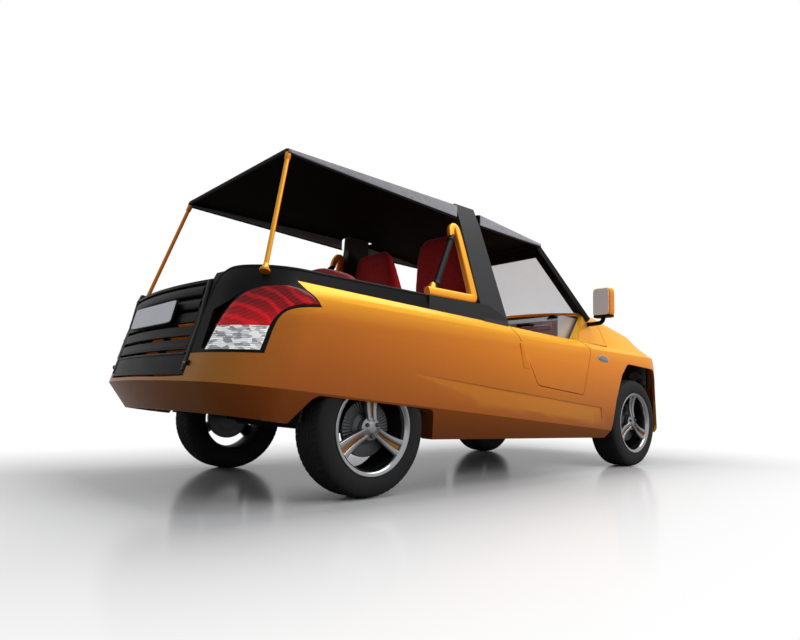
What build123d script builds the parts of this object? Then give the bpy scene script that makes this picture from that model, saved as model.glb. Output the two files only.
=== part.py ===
"""Open four-seat concept car: two-box body with an open load bed, a slatted tailgate that wraps
a bowed tail, a roll hoop, a stretched roof on two rear poles and three-spoke wheels.

Frame: x to the car's right, y forward, z up, millimetres. The ground is z 0, and y 0 is half way
between tail and nose. Heights that follow a line of the body are functions of y.
"""
from build123d import *
import os
from math import radians, sin, cos, tan, sqrt

# Driving dimensions
WHEELBASE = 2555.0
REAR_OVERHANG = 855.0
FRONT_OVERHANG = 700.0
WIDTH = 1680.0
TYRE_RADIUS = 330.0
TYRE_WIDTH = 214.0
TYRE_OUTER_X = 828.0
RIM_RADIUS = 226.0
WALL = 100.0            # doors and bed sides, outer skin to inner trim
SKIN = 20.0             # bumpers, wings, bonnet
SHUT_GAP = 5.0          # round doors, bonnet and tailgate
SEAT_GAP = 0.3          # a moving piece at rest on its seal, or on its pin
STEER_LIMIT = 28.0      # degrees each way

LENGTH = REAR_OVERHANG + WHEELBASE + FRONT_OVERHANG
TAIL = -LENGTH / 2
NOSE = LENGTH / 2
RA = TAIL + REAR_OVERHANG          # rear axle
FA = RA + WHEELBASE                # front axle
HALF = WIDTH / 2
INNER = HALF - WALL                # inner face of doors and bed sides
WHEEL_X = TYRE_OUTER_X - TYRE_WIDTH / 2

# Lines along the body side: height over the rear axle, and its fall per mm forward
CREASE_Z, CREASE_FALL = 465.0, 0.0846
SHOULDER_Z, SHOULDER_FALL = 880.0, 0.0135
BELT_Z, BELT_FALL = 972.0, 0.038
RAIL_Z, RAIL_FALL = 1040.0, 0.0145
CHAMFER_DROP, CHAMFER_IN = 200.0, 140.0

# Plan of the body: bow of tail and nose, and their corners
TAIL_BOW, NOSE_BOW = 12.0, 14.0
TAIL_CORNER, NOSE_CORNER = 330.0, 420.0


def belt(y):
    return BELT_Z - BELT_FALL * (y - RA)


def crease(y):
    return CREASE_Z - CREASE_FALL * (y - RA)


def rail_top(y):
    return RAIL_Z - RAIL_FALL * (y - RA)


# Outlines stacked from the sill up: height at the rear axle, fall, then how far each is set in
# from the side, the tail and the nose
LEVELS = [
    # z at rear axle, fall, side, tail, nose
    (CREASE_Z - CHAMFER_DROP, CREASE_FALL, CHAMFER_IN, CHAMFER_IN, CHAMFER_IN),
    (CREASE_Z, CREASE_FALL, 0.0, 0.0, 0.0),
    (SHOULDER_Z - 110, SHOULDER_FALL, 0.0, 66.0, 26.0),
    (SHOULDER_Z - 55, SHOULDER_FALL, 1.5, 80.0, 36.0),
    (SHOULDER_Z - 25, SHOULDER_FALL, 4.5, 87.5, 42.0),
    (SHOULDER_Z, SHOULDER_FALL, 8.5, 94.0, 48.0),
    # three steps of the rounded shoulder, up to the belt
    *[(SHOULDER_Z + t * (BELT_Z - SHOULDER_Z), SHOULDER_FALL + t * (BELT_FALL - SHOULDER_FALL),
       side, tail, nose)
      for t, side, tail, nose in ((0.35, 15.0, 102.0, 56.0), (0.7, 27.0, 109.5, 65.0),
                                  (1.0, 45.0, 116.0, 75.0))],
    (RAIL_Z, RAIL_FALL, 62.0, 140.0, 110.0),
]
BELT_LEVEL = 8                      # place of the belt in that list
NOSE_CREASE_Z, NOSE_CREASE_RISE = 400.0, 0.38
NOSE_LEVELS = [
    (NOSE_CREASE_Z - CHAMFER_DROP - NOSE_CREASE_RISE * (NOSE - RA), -NOSE_CREASE_RISE,
     CHAMFER_IN, CHAMFER_IN, CHAMFER_IN),
    (NOSE_CREASE_Z - NOSE_CREASE_RISE * (NOSE - RA), -NOSE_CREASE_RISE, 0.0, 0.0, 0.0),
    (SHOULDER_Z - 90, SHOULDER_FALL, 0.0, 72.0, 30.0),
]


def rounded_end(half, end, way, corner, bow):
    """Points of one bowed end of a plan outline: bow start, corner middle, corner end."""
    a = radians(bow)
    x = half - corner * (1 - sin(a))
    y = end - way * x * tan(a / 2)
    cx, cy = half - corner, y - way * corner * cos(a)
    m = (a + radians(90)) / 2
    return (x, y), (cx + corner * sin(m), cy + way * corner * cos(m)), (half, cy)


def outline(z, fall, side_in, tail_in, nose_in):
    """Plan outline of the body on a plane that falls forward: lines and arcs."""
    half = HALF - side_in
    start, mid, end = rounded_end(half, TAIL + tail_in, -1, TAIL_CORNER - side_in, TAIL_BOW)
    fstart, fmid, fend = rounded_end(half, NOSE - nose_in, 1, NOSE_CORNER - side_in, NOSE_BOW)
    plane = Plane(origin=(0, RA, z), x_dir=(1, 0, 0), z_dir=(0, fall, 1))
    stretch = sqrt(1 + fall * fall)

    def at(p, mirrored=False):
        return (-p[0] if mirrored else p[0], (p[1] - RA) * stretch)

    tail_mid, nose_mid = (0, TAIL + tail_in), (0, NOSE - nose_in)
    edges = [
        ThreePointArc(at(start, True), at(tail_mid), at(start)),
        ThreePointArc(at(start), at(mid), at(end)),
        Line(at(end), at(fend)),
        ThreePointArc(at(fend), at(fmid), at(fstart)),
        ThreePointArc(at(fstart), at(nose_mid), at(fstart, True)),
        ThreePointArc(at(fstart, True), at(fmid, True), at(fend, True)),
        Line(at(fend, True), at(end, True)),
        ThreePointArc(at(end, True), at(mid, True), at(start, True)),
    ]
    return plane * make_face(Wire(edges))


def hull(levels, skin=0.0):
    """The body's outer form between its lowest and highest outline, or its inside."""
    return loft([outline(z, fall, side + skin, tail + skin, nose + skin)
                 for z, fall, side, tail, nose in levels], ruled=True)


def block(x, y, z):
    """Box from three (low, high) pairs."""
    return Pos((x[0] + x[1]) / 2, (y[0] + y[1]) / 2, (z[0] + z[1]) / 2) * Box(
        x[1] - x[0], y[1] - y[0], z[1] - z[0])


def side_face(points, radii=None, x=0.0):
    """Face with a side-view outline of (y, z) points, at x, with its corners rounded."""
    plane = Plane(origin=(x, 0, 0), x_dir=(0, 1, 0), z_dir=(1, 0, 0))
    if radii is None:
        return plane * make_face(Polyline(*points, close=True))
    return plane * make_face(FilletPolyline(*points, radius=radii, close=True))


def side_view(points, x, radii=None):
    """Solid with a side-view outline, between two x."""
    return extrude(side_face(points, radii, x[0]), x[1] - x[0])


def both(part):
    """A right-hand piece and its left-hand twin, in one node."""
    return [part, mirror(part, about=Plane.YZ)]


def rod(start, end, radius):
    """Round bar between two points."""
    a, b = Vector(*start), Vector(*end)
    plane = Plane(origin=a, z_dir=(b - a))
    return extrude(plane * Circle(radius), (b - a).length)


def ring(axis_origin, axis_dir, outer, inner, length):
    """Tube along an axis, from its origin."""
    plane = Plane(origin=axis_origin, z_dir=axis_dir)
    return extrude(plane * (Circle(outer) - Circle(inner)), length)


NODES = {}


def keep(name, *solids):
    NODES[name] = list(solids)


outer = hull(LEVELS)
inside = hull(LEVELS, SKIN)
shell = outer - inside
nose_form = hull(NOSE_LEVELS)
nose_shell = nose_form - hull(NOSE_LEVELS, SKIN)

REAR_BUMPER_TOP, GATE_BOTTOM = 656.0, 563.0

# Black bed rail in side view: up the corner round the lamp, then forward along the belt
RAIL_SIDE = [
    # y, z from the foot of the corner
    (TAIL - 10, REAR_BUMPER_TOP), (RA - 585, REAR_BUMPER_TOP), (RA - 555, 720), (RA - 520, 800),
    (RA - 470, 868), (RA - 353, 881), (RA - 380, 925), (RA - 440, belt(RA - 440)),
    (RA + 372, belt(RA + 372)), (RA + 372, rail_top(RA + 372)), (RA - 600, rail_top(RA - 600)),
    (RA - 690, rail_top(RA) - 16), (TAIL + 60, 960), (TAIL - 10, 800),
]

# Body side: bed side, sill and door post in one wall
SIDE_REAR = RA - 500.0          # joint to the rear bumper
SIDE_FRONT = RA + 1935.0        # joint to the front wing
SILL_Z, SILL_Y, SILL_FALL = 259.0, RA + 480.0, 0.019
TAIL_BOTTOM_Z, TAIL_BOTTOM_FALL = 302.0, 0.13


def tail_bottom(y):
    return TAIL_BOTTOM_Z - TAIL_BOTTOM_FALL * (y - RA)


def sill(y):
    return SILL_Z - SILL_FALL * (y - SILL_Y)


side_outline = [
    (SIDE_REAR, tail_bottom(SIDE_REAR)), (RA - 440, tail_bottom(RA - 440)), (SILL_Y, SILL_Z),
    (SIDE_FRONT, sill(SIDE_FRONT)), (SIDE_FRONT, belt(SIDE_FRONT)), (RA - 600, belt(RA - 600)),
    (RA - 600, REAR_BUMPER_TOP), (SIDE_REAR, REAR_BUMPER_TOP),
]
REAR_ARCH = [
    # y from the rear axle, z: a flat-topped opening, wider at the bottom
    (RA - 530, 200), (RA - 344, 484), (RA + 382, 424), (RA + 530, 180),
]
WHEEL_ROOM = 30.0               # round a tyre that only spins
rear_arch = side_view(REAR_ARCH, (500, 900), [1, 60, 60, 1])
skirt_x = HALF - 7.0            # inner face of the thin skirt beside the tyre
well_radius = TYRE_RADIUS + WHEEL_ROOM
well_inner = TYRE_OUTER_X - TYRE_WIDTH - 14
rear_well = Pos((well_inner + skirt_x) / 2, RA, TYRE_RADIUS) * Rot(0, 90, 0) * Cylinder(
    well_radius, skirt_x - well_inner)
rear_well_low = block((well_inner, skirt_x), (RA - well_radius, RA + well_radius),
                      (0, TYRE_RADIUS))

DOOR = [
    # y, z of the door's corners, from the rear bottom round by the front
    (RA + 1290, 580), (RA + 1807, 531), (RA + 1912, 850), (RA + 1835, belt(RA + 1835)),
    (RA + 1046, belt(RA + 1046)), (RA + 1100, 880),
]
DOOR_RADII = [70, 25, 30, 12, 12, 60]
door_face = side_face(DOOR, DOOR_RADII)
door_inner_x = INNER + 10
body_side = outer & side_view(side_outline, (600, 900))
body_side -= block((0, INNER), (TAIL, NOSE), (400, 1200))
body_side -= block((0, 640), (TAIL, NOSE), (0, 420))
body_side -= rear_arch + rear_well + rear_well_low
body_side -= side_view(RAIL_SIDE, (400, 900))
aperture = extrude(Pos(door_inner_x - SEAT_GAP, 0, 0) * offset(door_face, SHUT_GAP), 200)
aperture_inner = extrude(Pos(600, 0, 0) * offset(door_face, -15), 200)
body_side -= aperture + aperture_inner

# Swage along the lower side: a step that fades in behind the wheel and runs to the front wing
SWAGE_REAR, SWAGE_FRONT = (RA + 230, 608.0), (RA + 2040, 443.0)
SWAGE_DEEP, SWAGE_HIGH = 6.0, 95.0


def swage_section(share, size):
    """Thin triangle across the swage line: deep at its top, nothing at its bottom."""
    y = SWAGE_REAR[0] + share * (SWAGE_FRONT[0] - SWAGE_REAR[0])
    z = SWAGE_REAR[1] + share * (SWAGE_FRONT[1] - SWAGE_REAR[1])
    plane = Plane(origin=(HALF, y, z), x_dir=(1, 0, 0), z_dir=(0, -1, 0))
    return plane * make_face(Polyline((-SWAGE_DEEP * size, 0), (2, 0), (2, -SWAGE_HIGH * size),
                                      (0, -SWAGE_HIGH * size), close=True))


swage = loft([swage_section(0.0, 0.08), swage_section(0.3, 1.0), swage_section(1.0, 1.0)],
             ruled=True)
body_side -= swage
keep("body_side_right", body_side)
keep("body_side_left", mirror(body_side, about=Plane.YZ))

door = outer & extrude(Pos(door_inner_x, 0, 0) * door_face, 200)
door -= swage
keep("door_right", door)
keep("door_left", mirror(door, about=Plane.YZ))

# Front wings, over the wheels and round to the lamps
WING_FRONT = NOSE - 250.0
FRONT_ARCH = [
    # y, z: top and front from the photo, rear edge clear of the steered tyre
    (FA - 440, 180), (FA - 358, 330), (FA - 302, 500), (FA - 215, 690), (FA - 130, 775),
    (FA + 300, 752), (FA + 400, 640), (FA + 415, 500), (FA + 385, 300), (FA + 330, 180),
]
front_arch = side_view(FRONT_ARCH, (400, 900), [1, 60, 60, 60, 60, 60, 60, 60, 60, 1])
BUMPER_TOP = 600.0
wing_outline = [
    (SIDE_FRONT, sill(SIDE_FRONT)), (FA, sill(FA)), (FA, BUMPER_TOP), (NOSE, BUMPER_TOP),
    (NOSE, belt(NOSE)), (SIDE_FRONT, belt(SIDE_FRONT)),
]
LAMP_IN, LAMP_OUT = 400.0, 660.0
wing = shell & side_view(wing_outline, (INNER - 20, 900))
wing += shell & side_view([(FA + 420, BUMPER_TOP), (NOSE, BUMPER_TOP), (NOSE, belt(NOSE)),
                           (FA + 420, belt(FA + 420))], (LAMP_OUT, 900))
wing -= front_arch + swage
keep("front_wings", *both(wing))

# Bumpers
GATE_HALF = 490.0
AXIS_Y, AXIS_Z = RA - 791.0, 613.0         # tailgate hinge
bumper_outline = [
    (TAIL - 10, 300), (TAIL - 10, REAR_BUMPER_TOP), (SIDE_REAR, REAR_BUMPER_TOP),
    (SIDE_REAR, tail_bottom(SIDE_REAR)), (RA - 790, tail_bottom(RA - 790)), (RA - 790, 300),
]
rear_bumper = shell & side_view(bumper_outline, (-900, 900))
rear_bumper -= block((-GATE_HALF - SHUT_GAP, GATE_HALF + SHUT_GAP), (TAIL - 10, RA - 500),
                     (GATE_BOTTOM - 2, 800))
sweep_profile = Plane.XZ * make_face(Wire([
    Line((-GATE_HALF - SHUT_GAP, 0), (-GATE_HALF - SHUT_GAP, 58)),
    ThreePointArc((-GATE_HALF - SHUT_GAP, 58), (0, 84), (GATE_HALF + SHUT_GAP, 58)),
    Line((GATE_HALF + SHUT_GAP, 58), (GATE_HALF + SHUT_GAP, 0)),
    Line((GATE_HALF + SHUT_GAP, 0), (-GATE_HALF - SHUT_GAP, 0)),
]))
gate_sweep = Pos(0, AXIS_Y, AXIS_Z) * revolve(sweep_profile, Axis.X, 360)
rear_bumper -= gate_sweep
PIN, PIN_LONG = 8.0, 24.0
for way in (-1, 1):
    boss = block(sorted((way * (GATE_HALF + SHUT_GAP), way * (GATE_HALF + 45))),
                 (AXIS_Y - 40, AXIS_Y + 40), (AXIS_Z - 25, AXIS_Z + 25))
    rear_bumper += boss & outer
    rear_bumper += rod((way * (GATE_HALF - PIN_LONG + 1), AXIS_Y, AXIS_Z),
                       (way * (GATE_HALF + 20), AXIS_Y, AXIS_Z), PIN)
keep("rear_bumper", rear_bumper)

front_bumper = nose_shell & side_view(
    [(FA + 300, 250), (NOSE + 10, 250), (NOSE + 10, BUMPER_TOP), (FA + 300, BUMPER_TOP)],
    (-900, 900))
front_bumper -= front_arch + mirror(front_arch, about=Plane.YZ)
keep("front_bumper", front_bumper)


# Black bed rails: along the belt behind the hoop, and down the corner round the lamp
RAIL_WIDE = 80.0
rail = (outer - hull(LEVELS, RAIL_WIDE)) & side_view(RAIL_SIDE, (GATE_HALF + SHUT_GAP, 900))

# Lamp: the middle of the corner, inside a black border
LAMP = [
    # y, z in side view
    (TAIL, 676), (RA - 604, 676), (RA - 575, 735), (RA - 545, 805), (RA - 490, 872),
    (RA - 372, 885), (RA - 395, 915), (RA - 450, 950), (RA - 540, 962), (RA - 640, 930),
    (RA - 715, 850), (TAIL, 700),
]
LAMP_DEEP = 30.0
lamp_box = side_view(LAMP, (560, 900), 14)
lamp_skin = outer - hull(LEVELS, LAMP_DEEP)
tail_lamp = lamp_skin & lamp_box
rail -= tail_lamp
keep("bed_rails", *both(rail))
keep("tail_lamps", *both(tail_lamp))

# Tailgate: frame, solid lower panel, five round-fronted slats, two stays
GATE_THICK = 45.0
GATE_TOP = 1000.0
SLATS, SLAT_FIRST, SLAT_STEP, SLAT_HIGH = 5, 698.0, 63.0, 44.0
FRAME = 42.0
gate_skin = outer - hull(LEVELS, GATE_THICK)
gate_zone = block((-GATE_HALF, GATE_HALF), (TAIL - 10, RA - 650), (GATE_BOTTOM, GATE_TOP))
gate_plate = gate_skin & gate_zone
gate_window = block((-GATE_HALF + FRAME, GATE_HALF - FRAME), (TAIL - 50, RA - 600),
                    (652, GATE_TOP - 14))
gate = gate_plate - gate_window
slat_skin = outer - hull(LEVELS, 24.0)
for i in range(SLATS):
    z = SLAT_FIRST + i * SLAT_STEP
    gate += slat_skin & block((-GATE_HALF + FRAME - 1, GATE_HALF - FRAME + 1),
                              (TAIL - 10, RA - 600), (z - SLAT_HIGH / 2, z + SLAT_HIGH / 2))
STAY_X, STAY_WIDE = 170.0, 26.0
stay_skin = hull(LEVELS, 20.0) - hull(LEVELS, GATE_THICK)
for x in (-STAY_X, STAY_X):
    gate += stay_skin & block((x - STAY_WIDE / 2, x + STAY_WIDE / 2), (TAIL - 10, RA - 600),
                              (651, GATE_TOP - 13))
for way in (-1, 1):
    gate -= Pos(way * GATE_HALF, AXIS_Y, AXIS_Z) * Rot(0, 90, 0) * Cylinder(
        PIN + SEAT_GAP, 2 * PIN_LONG)
keep("tailgate", gate)


# Bonnet and cowl: one crowned form on the belt, cut at the bonnet's shut line
UPPER = [
    # y, half width on the belt, top corner x, top corner z, crown z
    (RA + 1800, 795, 752, 1128, 1160),
    (RA + 2200, 780, 700, 1118, 1165),
    (RA + 2750, 768, 650, 1035, 1100),
    (RA + 3020, 752, 590, 950, 1010),
    (RA + 3240, 740, 540, 860, 905),
]
UPPER_CORNER = 45.0


def upper_section(y, half, cx, cz, crown, skin=0.0):
    """Front-view section: straight sides, rounded top corners and a crowned top."""
    half, cx, cz, crown = half - skin, cx - skin, cz - skin, crown - skin
    base = belt(y) - (40 if skin else 0)
    up = Vector(cx - half, cz - base).normalized()
    over = Vector(-cx, crown - cz).normalized()
    corner = Vector(cx, cz)
    s, t = corner - up * UPPER_CORNER, corner + over * UPPER_CORNER
    m = corner - (up - over) * (UPPER_CORNER * 0.3)
    edges = [
        Line((-half, base), (half, base)),
        Line((half, base), (s.X, s.Y)),
        ThreePointArc((s.X, s.Y), (m.X, m.Y), (t.X, t.Y)),
        ThreePointArc((t.X, t.Y), (0, crown), (-t.X, t.Y)),
        ThreePointArc((-t.X, t.Y), (-m.X, m.Y), (-s.X, s.Y)),
        Line((-s.X, s.Y), (-half, base)),
    ]
    plane = Plane(origin=(0, y, 0), x_dir=(1, 0, 0), z_dir=(0, -1, 0))
    return plane * make_face(Wire(edges))


def upper_form(skin=0.0):
    return loft([upper_section(*row, skin=skin) for row in UPPER], ruled=True)


upper = upper_form()
upper_inside = upper_form(SKIN)
belt_level = LEVELS[BELT_LEVEL]
plan_stack = [(belt_level[0] + rise, belt_level[1]) + belt_level[2:] for rise in (-60, 400)]
nose_plan = hull(plan_stack, SHUT_GAP)
nose_plan_inside = hull(plan_stack, SHUT_GAP + SKIN)
SHUT_TOP, SHUT_FOOT = (RA + 2170, 1126), (RA + 2230, belt(RA + 2230))
shut_slope = (SHUT_FOOT[0] - SHUT_TOP[0]) / (SHUT_TOP[1] - SHUT_FOOT[1])


def shut_y(z, gap=0.0):
    return SHUT_TOP[0] + (SHUT_TOP[1] - z) * shut_slope + gap


LOW, HIGH = 700, 1300
bonnet_zone = side_view([(shut_y(LOW, SHUT_GAP), LOW), (NOSE, LOW), (NOSE, HIGH),
                         (shut_y(HIGH, SHUT_GAP), HIGH)], (-900, 900))
above_belt = side_view([(RA + 1700, belt(RA + 1700) + SEAT_GAP), (NOSE, belt(NOSE) + SEAT_GAP),
                        (NOSE, HIGH), (RA + 1700, HIGH)], (-900, 900))
bonnet = ((upper & nose_plan) - (upper_inside & nose_plan_inside)) & bonnet_zone & above_belt
keep("bonnet", bonnet)

SCREEN_FOOT = (RA + 2000, 1135)      # y, z of the windscreen's outer face at the cowl
SCREEN_HEAD = (RA + 1660, 1592)
PILLAR_FOOT = (RA + 1818, belt(RA + 1818))
COWL_SIDE = 70.0
cowl_zone = side_view([PILLAR_FOOT, (shut_y(PILLAR_FOOT[1] - 5), PILLAR_FOOT[1] - 5),
                       (shut_y(HIGH), HIGH), (SCREEN_FOOT[0] - 30, HIGH),
                       (SCREEN_FOOT[0] - 30, SCREEN_FOOT[1] - 20)], (-900, 900))
cowl_inside = upper_inside & block((-780 + COWL_SIDE, 780 - COWL_SIDE), (RA + 1700, NOSE),
                                   (800, HIGH))
cowl = (upper - cowl_inside) & cowl_zone
keep("cowl", cowl)

# Windscreen: a leaning frame of pillars and header, with its glass
screen_up = Vector(0, SCREEN_HEAD[0] - SCREEN_FOOT[0], SCREEN_HEAD[1] - SCREEN_FOOT[1])
SCREEN_DEEP = 45.0
screen_plane = Plane(origin=(0, SCREEN_FOOT[0], SCREEN_FOOT[1]), x_dir=(-1, 0, 0),
                     z_dir=screen_up.cross(Vector(1, 0, 0)))
screen_long = screen_up.length
FOOT_HALF, HEAD_HALF, PILLAR, HEADER = 740.0, 582.0, 62.0, 70.0
SCREEN_TUCK = 60.0                   # of the frame down into the cowl


def screen_outline(edge, top, low):
    """Trapezoid in the windscreen's plane, inside its outer edge by edge, top by top."""
    taper = (FOOT_HALF - HEAD_HALF) / screen_long
    foot, head = FOOT_HALF - edge + taper * low, HEAD_HALF - edge + taper * top
    return make_face(Polyline((-foot, -low), (foot, -low), (head, screen_long - top),
                              (-head, screen_long - top), close=True))


frame_face = screen_outline(0, 0, SCREEN_TUCK)
glass_face = screen_outline(PILLAR, HEADER, SCREEN_TUCK)
screen_frame = extrude(screen_plane * (frame_face - glass_face), -SCREEN_DEEP)
screen_glass = extrude(screen_plane.offset(-SCREEN_DEEP / 2) * glass_face, 6)
keep("windscreen_frame", screen_frame - upper)
keep("windscreen_glass", screen_glass - upper)

# Firewall and inner wings of the motor bay
SHEET = 12.0
FIREWALL_Y = RA + 2030.0
WELL_X = 452.0                       # inner wall of the front wheel wells
WELL_TOP = 800.0
FLOOR_Z = 275.0
firewall = block((-700, 700), (FIREWALL_Y, FIREWALL_Y + SHEET), (FLOOR_Z, 1080))
bay = firewall
for way in (-1, 1):
    wall = sorted((way * WELL_X, way * (WELL_X - SHEET)))
    shelf = sorted((way * WELL_X, way * 740))
    bay += block(wall, (FIREWALL_Y, FA + 460), (300, WELL_TOP + SHEET))
    bay += block(shelf, (FA - 400, FA + 400), (WELL_TOP, WELL_TOP + SHEET))
    bay -= block(wall, (FA - 70, FA + 70), (250, 500))
keep("motor_bay", bay - shell)

# Floor: cabin floor, step under the rear bench, bed floor and rear wheel housings
BED_Z = 560.0
STEP_Y = RA + 500.0
floor_path = [
    (FIREWALL_Y, FLOOR_Z), (STEP_Y, FLOOR_Z), (STEP_Y, BED_Z), (RA - 700, BED_Z),
    (RA - 700, BED_Z - SHEET), (STEP_Y - SHEET, BED_Z - SHEET), (STEP_Y - SHEET, FLOOR_Z - SHEET),
    (FIREWALL_Y, FLOOR_Z - SHEET),
]
floor = side_view(floor_path, (-640, 640))
floor += side_view([(STEP_Y, 400), (STEP_Y, BED_Z), (RA - 600, BED_Z),
                    (RA - 600, BED_Z - SHEET), (STEP_Y - SHEET, BED_Z - SHEET),
                    (STEP_Y - SHEET, 400)], (-INNER, INNER))
for way in (-1, 1):
    housing = Pos(way * (well_inner + INNER) / 2, RA, TYRE_RADIUS) * Rot(0, 90, 0)
    long = INNER - well_inner
    room = housing * Cylinder(well_radius, long) + block(
        sorted((way * well_inner, way * INNER)), (RA - well_radius, RA + well_radius),
        (0, TYRE_RADIUS))
    outer_room = Pos(way * (well_inner - SHEET + INNER) / 2, RA, TYRE_RADIUS) * Rot(
        0, 90, 0) * Cylinder(well_radius + SHEET, long + SHEET)
    floor += outer_room & block((-900, 900), (RA - 500, RA + 500), (BED_Z - 200, 900))
    floor -= room
keep("floor_pan", floor)

# Heavy masses, as plain blocks
BEAM_TOP = 250.0                     # front crossmember
keep("motor_block", block((-230, 230), (FA - 190, FA + 190), (BEAM_TOP, 560)))
keep("battery_block", block((-450, 450), (RA + 110, STEP_Y - SHEET - 30), (300, BED_Z - SHEET)))

# Roll hoop over the cabin
LEAN = (800 - 610) / (1576 - 938)
HOOP_FOOT_Z, HOOP_TOP_Z = 938.0, 1672.0
HOOP_WALL = 70.0
foot_x, top_x = 800.0, 800 - LEAN * (HOOP_TOP_Z - HOOP_FOOT_Z)


def flat(x, y, z):
    """Rectangle at a height, for a pillar section."""
    return Pos((x[0] + x[1]) / 2, (y[0] + y[1]) / 2, z) * Rectangle(x[1] - x[0], y[1] - y[0])


PILLAR_SECTIONS = [
    # z, rear y, front y
    (belt(RA + 1042), RA + 818, RA + 1042),
    (1576, RA + 792, RA + 976),
    (HOOP_TOP_Z + 22, RA + 775, RA + 950),
]


def lean_x(z):
    return foot_x - LEAN * (z - HOOP_FOOT_Z)


pillar = loft([flat((lean_x(z) - HOOP_WALL, lean_x(z)), (y0, y1), z)
               for z, y0, y1 in PILLAR_SECTIONS], ruled=True)
ROOF_TOP = 1673.0
BAND = 16.0
band = block((-top_x + 4, top_x - 4), (RA + 778, RA + 952), (ROOF_TOP + SEAT_GAP, ROOF_TOP + BAND))
pillar &= block((0, 900), (RA, RA + 1100), (900, ROOF_TOP + BAND))
plinth = side_view([(RA + 372, belt(RA + 372)), (RA + 1042, belt(RA + 1042)),
                    (RA + 1035, 975), (RA + 850, 1040), (RA + 372, rail_top(RA + 372))],
                   (724, 794))
hoop_side = pillar + plinth
hoop_side -= side_view([(RA + 300, 700), (RA + 1100, 700), (RA + 1100, belt(RA + 1100)),
                        (RA + 300, belt(RA + 300))], (600, 900))
hoop = hoop_side + mirror(hoop_side, about=Plane.YZ) + band
keep("roll_hoop", hoop)

# Orange frame behind the hoop, and the black strut that closes its triangle
lean_plane = Plane(origin=(foot_x - 2, 0, HOOP_FOOT_Z), x_dir=(0, 1, 0), z_dir=(1, 0, LEAN))
stretch = sqrt(1 + LEAN * LEAN)


def lean(y, z):
    return y, (z - HOOP_FOOT_Z) * stretch


FRAME_OUT = [(RA + 395, 1042), (RA + 808, 1042), (RA + 786, 1520), (RA + 730, 1545),
             (RA + 690, 1470), (RA + 712, 1440), (RA + 752, 1420), (RA + 752, 1085),
             (RA + 560, 1085), (RA + 480, 1110), (RA + 420, 1110)]
frame_face = make_face(Polyline(*[lean(y, z) for y, z in FRAME_OUT], close=True))
hoop_frame = extrude(lean_plane * frame_face, -46)
STRUT = 19.0
strut_low = (lean_x(1095) - 24, RA + 475, 1095.0)
strut_top = (lean_x(1462) - 24, RA + 715, 1462.0)
strut = rod(strut_low, strut_top, STRUT)
hoop_frame -= strut + pillar + plinth
keep("hoop_frames", *both(hoop_frame))
keep("hoop_struts", *both(strut - plinth))

# Roof: a thin stretched panel with side valances, notched round the hoop
ROOF_HALF, ROOF_HEAD_HALF = 603.0, 588.0
ROOF_THICK = 24.0
ROOF_REAR, ROOF_BEND, ROOF_HEAD = RA - 409, RA + 850, RA + 1640
HEAD_Z = 1600.0
roof_plate = side_view([(ROOF_REAR, ROOF_TOP), (ROOF_BEND, ROOF_TOP), (ROOF_HEAD, HEAD_Z),
                        (ROOF_HEAD, HEAD_Z - ROOF_THICK),
                        (ROOF_BEND, ROOF_TOP - ROOF_THICK), (ROOF_REAR, ROOF_TOP - ROOF_THICK)],
                       (-ROOF_HALF, ROOF_HALF))
VALANCE, VALANCE_DEEP = 18.0, 88.0
valance = side_view([(ROOF_REAR, ROOF_TOP), (ROOF_BEND, ROOF_TOP), (ROOF_HEAD, HEAD_Z),
                     (ROOF_HEAD, HEAD_Z - ROOF_THICK), (ROOF_BEND, ROOF_TOP - VALANCE_DEEP),
                     (ROOF_REAR, ROOF_TOP - ROOF_THICK)], (ROOF_HALF - VALANCE, ROOF_HALF))
roof = roof_plate + valance + mirror(valance, about=Plane.YZ)
hoop_room = block((top_x - HOOP_WALL - 8, 900), (RA + 770, RA + 985), (1400, 1800))
roof -= hoop_room + mirror(hoop_room, about=Plane.YZ)
roof -= hoop + screen_frame
keep("roof_panel", roof)

# Rear roof poles, from the rails up to the roof's rear corners
POLE = 11.0
pole_foot, pole_head = (752.0, RA - 580, 1018.0), (586.0, RA - 397, 1660.0)
pole = rod(pole_foot, pole_head, POLE) - roof - rail
keep("roof_poles", *both(pole))

# Dashboard, passenger grab handle, steering column and wheel
DASH_REAR, DASH_TOP = RA + 1720.0, 1090.0
dash = side_view([(DASH_REAR + 60, 800), (FIREWALL_Y, 800), (FIREWALL_Y, 1080),
                  (DASH_REAR + 60, DASH_TOP), (DASH_REAR, 1050), (DASH_REAR, 900)],
                 (-690, 690), 12)
STEER_X = -360.0
WHEEL_HUB = (STEER_X, RA + 1600.0, 1010.0)
COLUMN_END = (STEER_X, RA + 1960.0, 860.0)
column_dir = (Vector(*COLUMN_END) - Vector(*WHEEL_HUB)).normalized()
COLUMN, SPINDLE = 24.0, 9.0
column = rod(tuple(Vector(*WHEEL_HUB) + column_dir * 55), COLUMN_END, COLUMN)
spindle = rod(tuple(Vector(*WHEEL_HUB) + column_dir * 12),
              tuple(Vector(*WHEEL_HUB) + column_dir * 60), SPINDLE)
keep("steering_column", column + spindle)
dash -= column
keep("dashboard", dash)
WHEEL_R, WHEEL_TUBE = 185.0, 13.0
hub_plane = Plane(origin=WHEEL_HUB, x_dir=(1, 0, 0), z_dir=column_dir)
steering = hub_plane * (Torus(WHEEL_R, WHEEL_TUBE) + Pos(0, 0, 22) * Cylinder(38, 44))
for angle in (0, 180, 270):
    steering += hub_plane * Rot(0, 0, angle) * (Pos(WHEEL_R / 2 + 5, 0, 4) * Box(
        WHEEL_R - 10, 30, 9))
steering -= rod(tuple(Vector(*WHEEL_HUB) + column_dir * 11.7),
                tuple(Vector(*WHEEL_HUB) + column_dir * 80), SPINDLE + SEAT_GAP)
keep("steering_wheel", steering)
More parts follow.
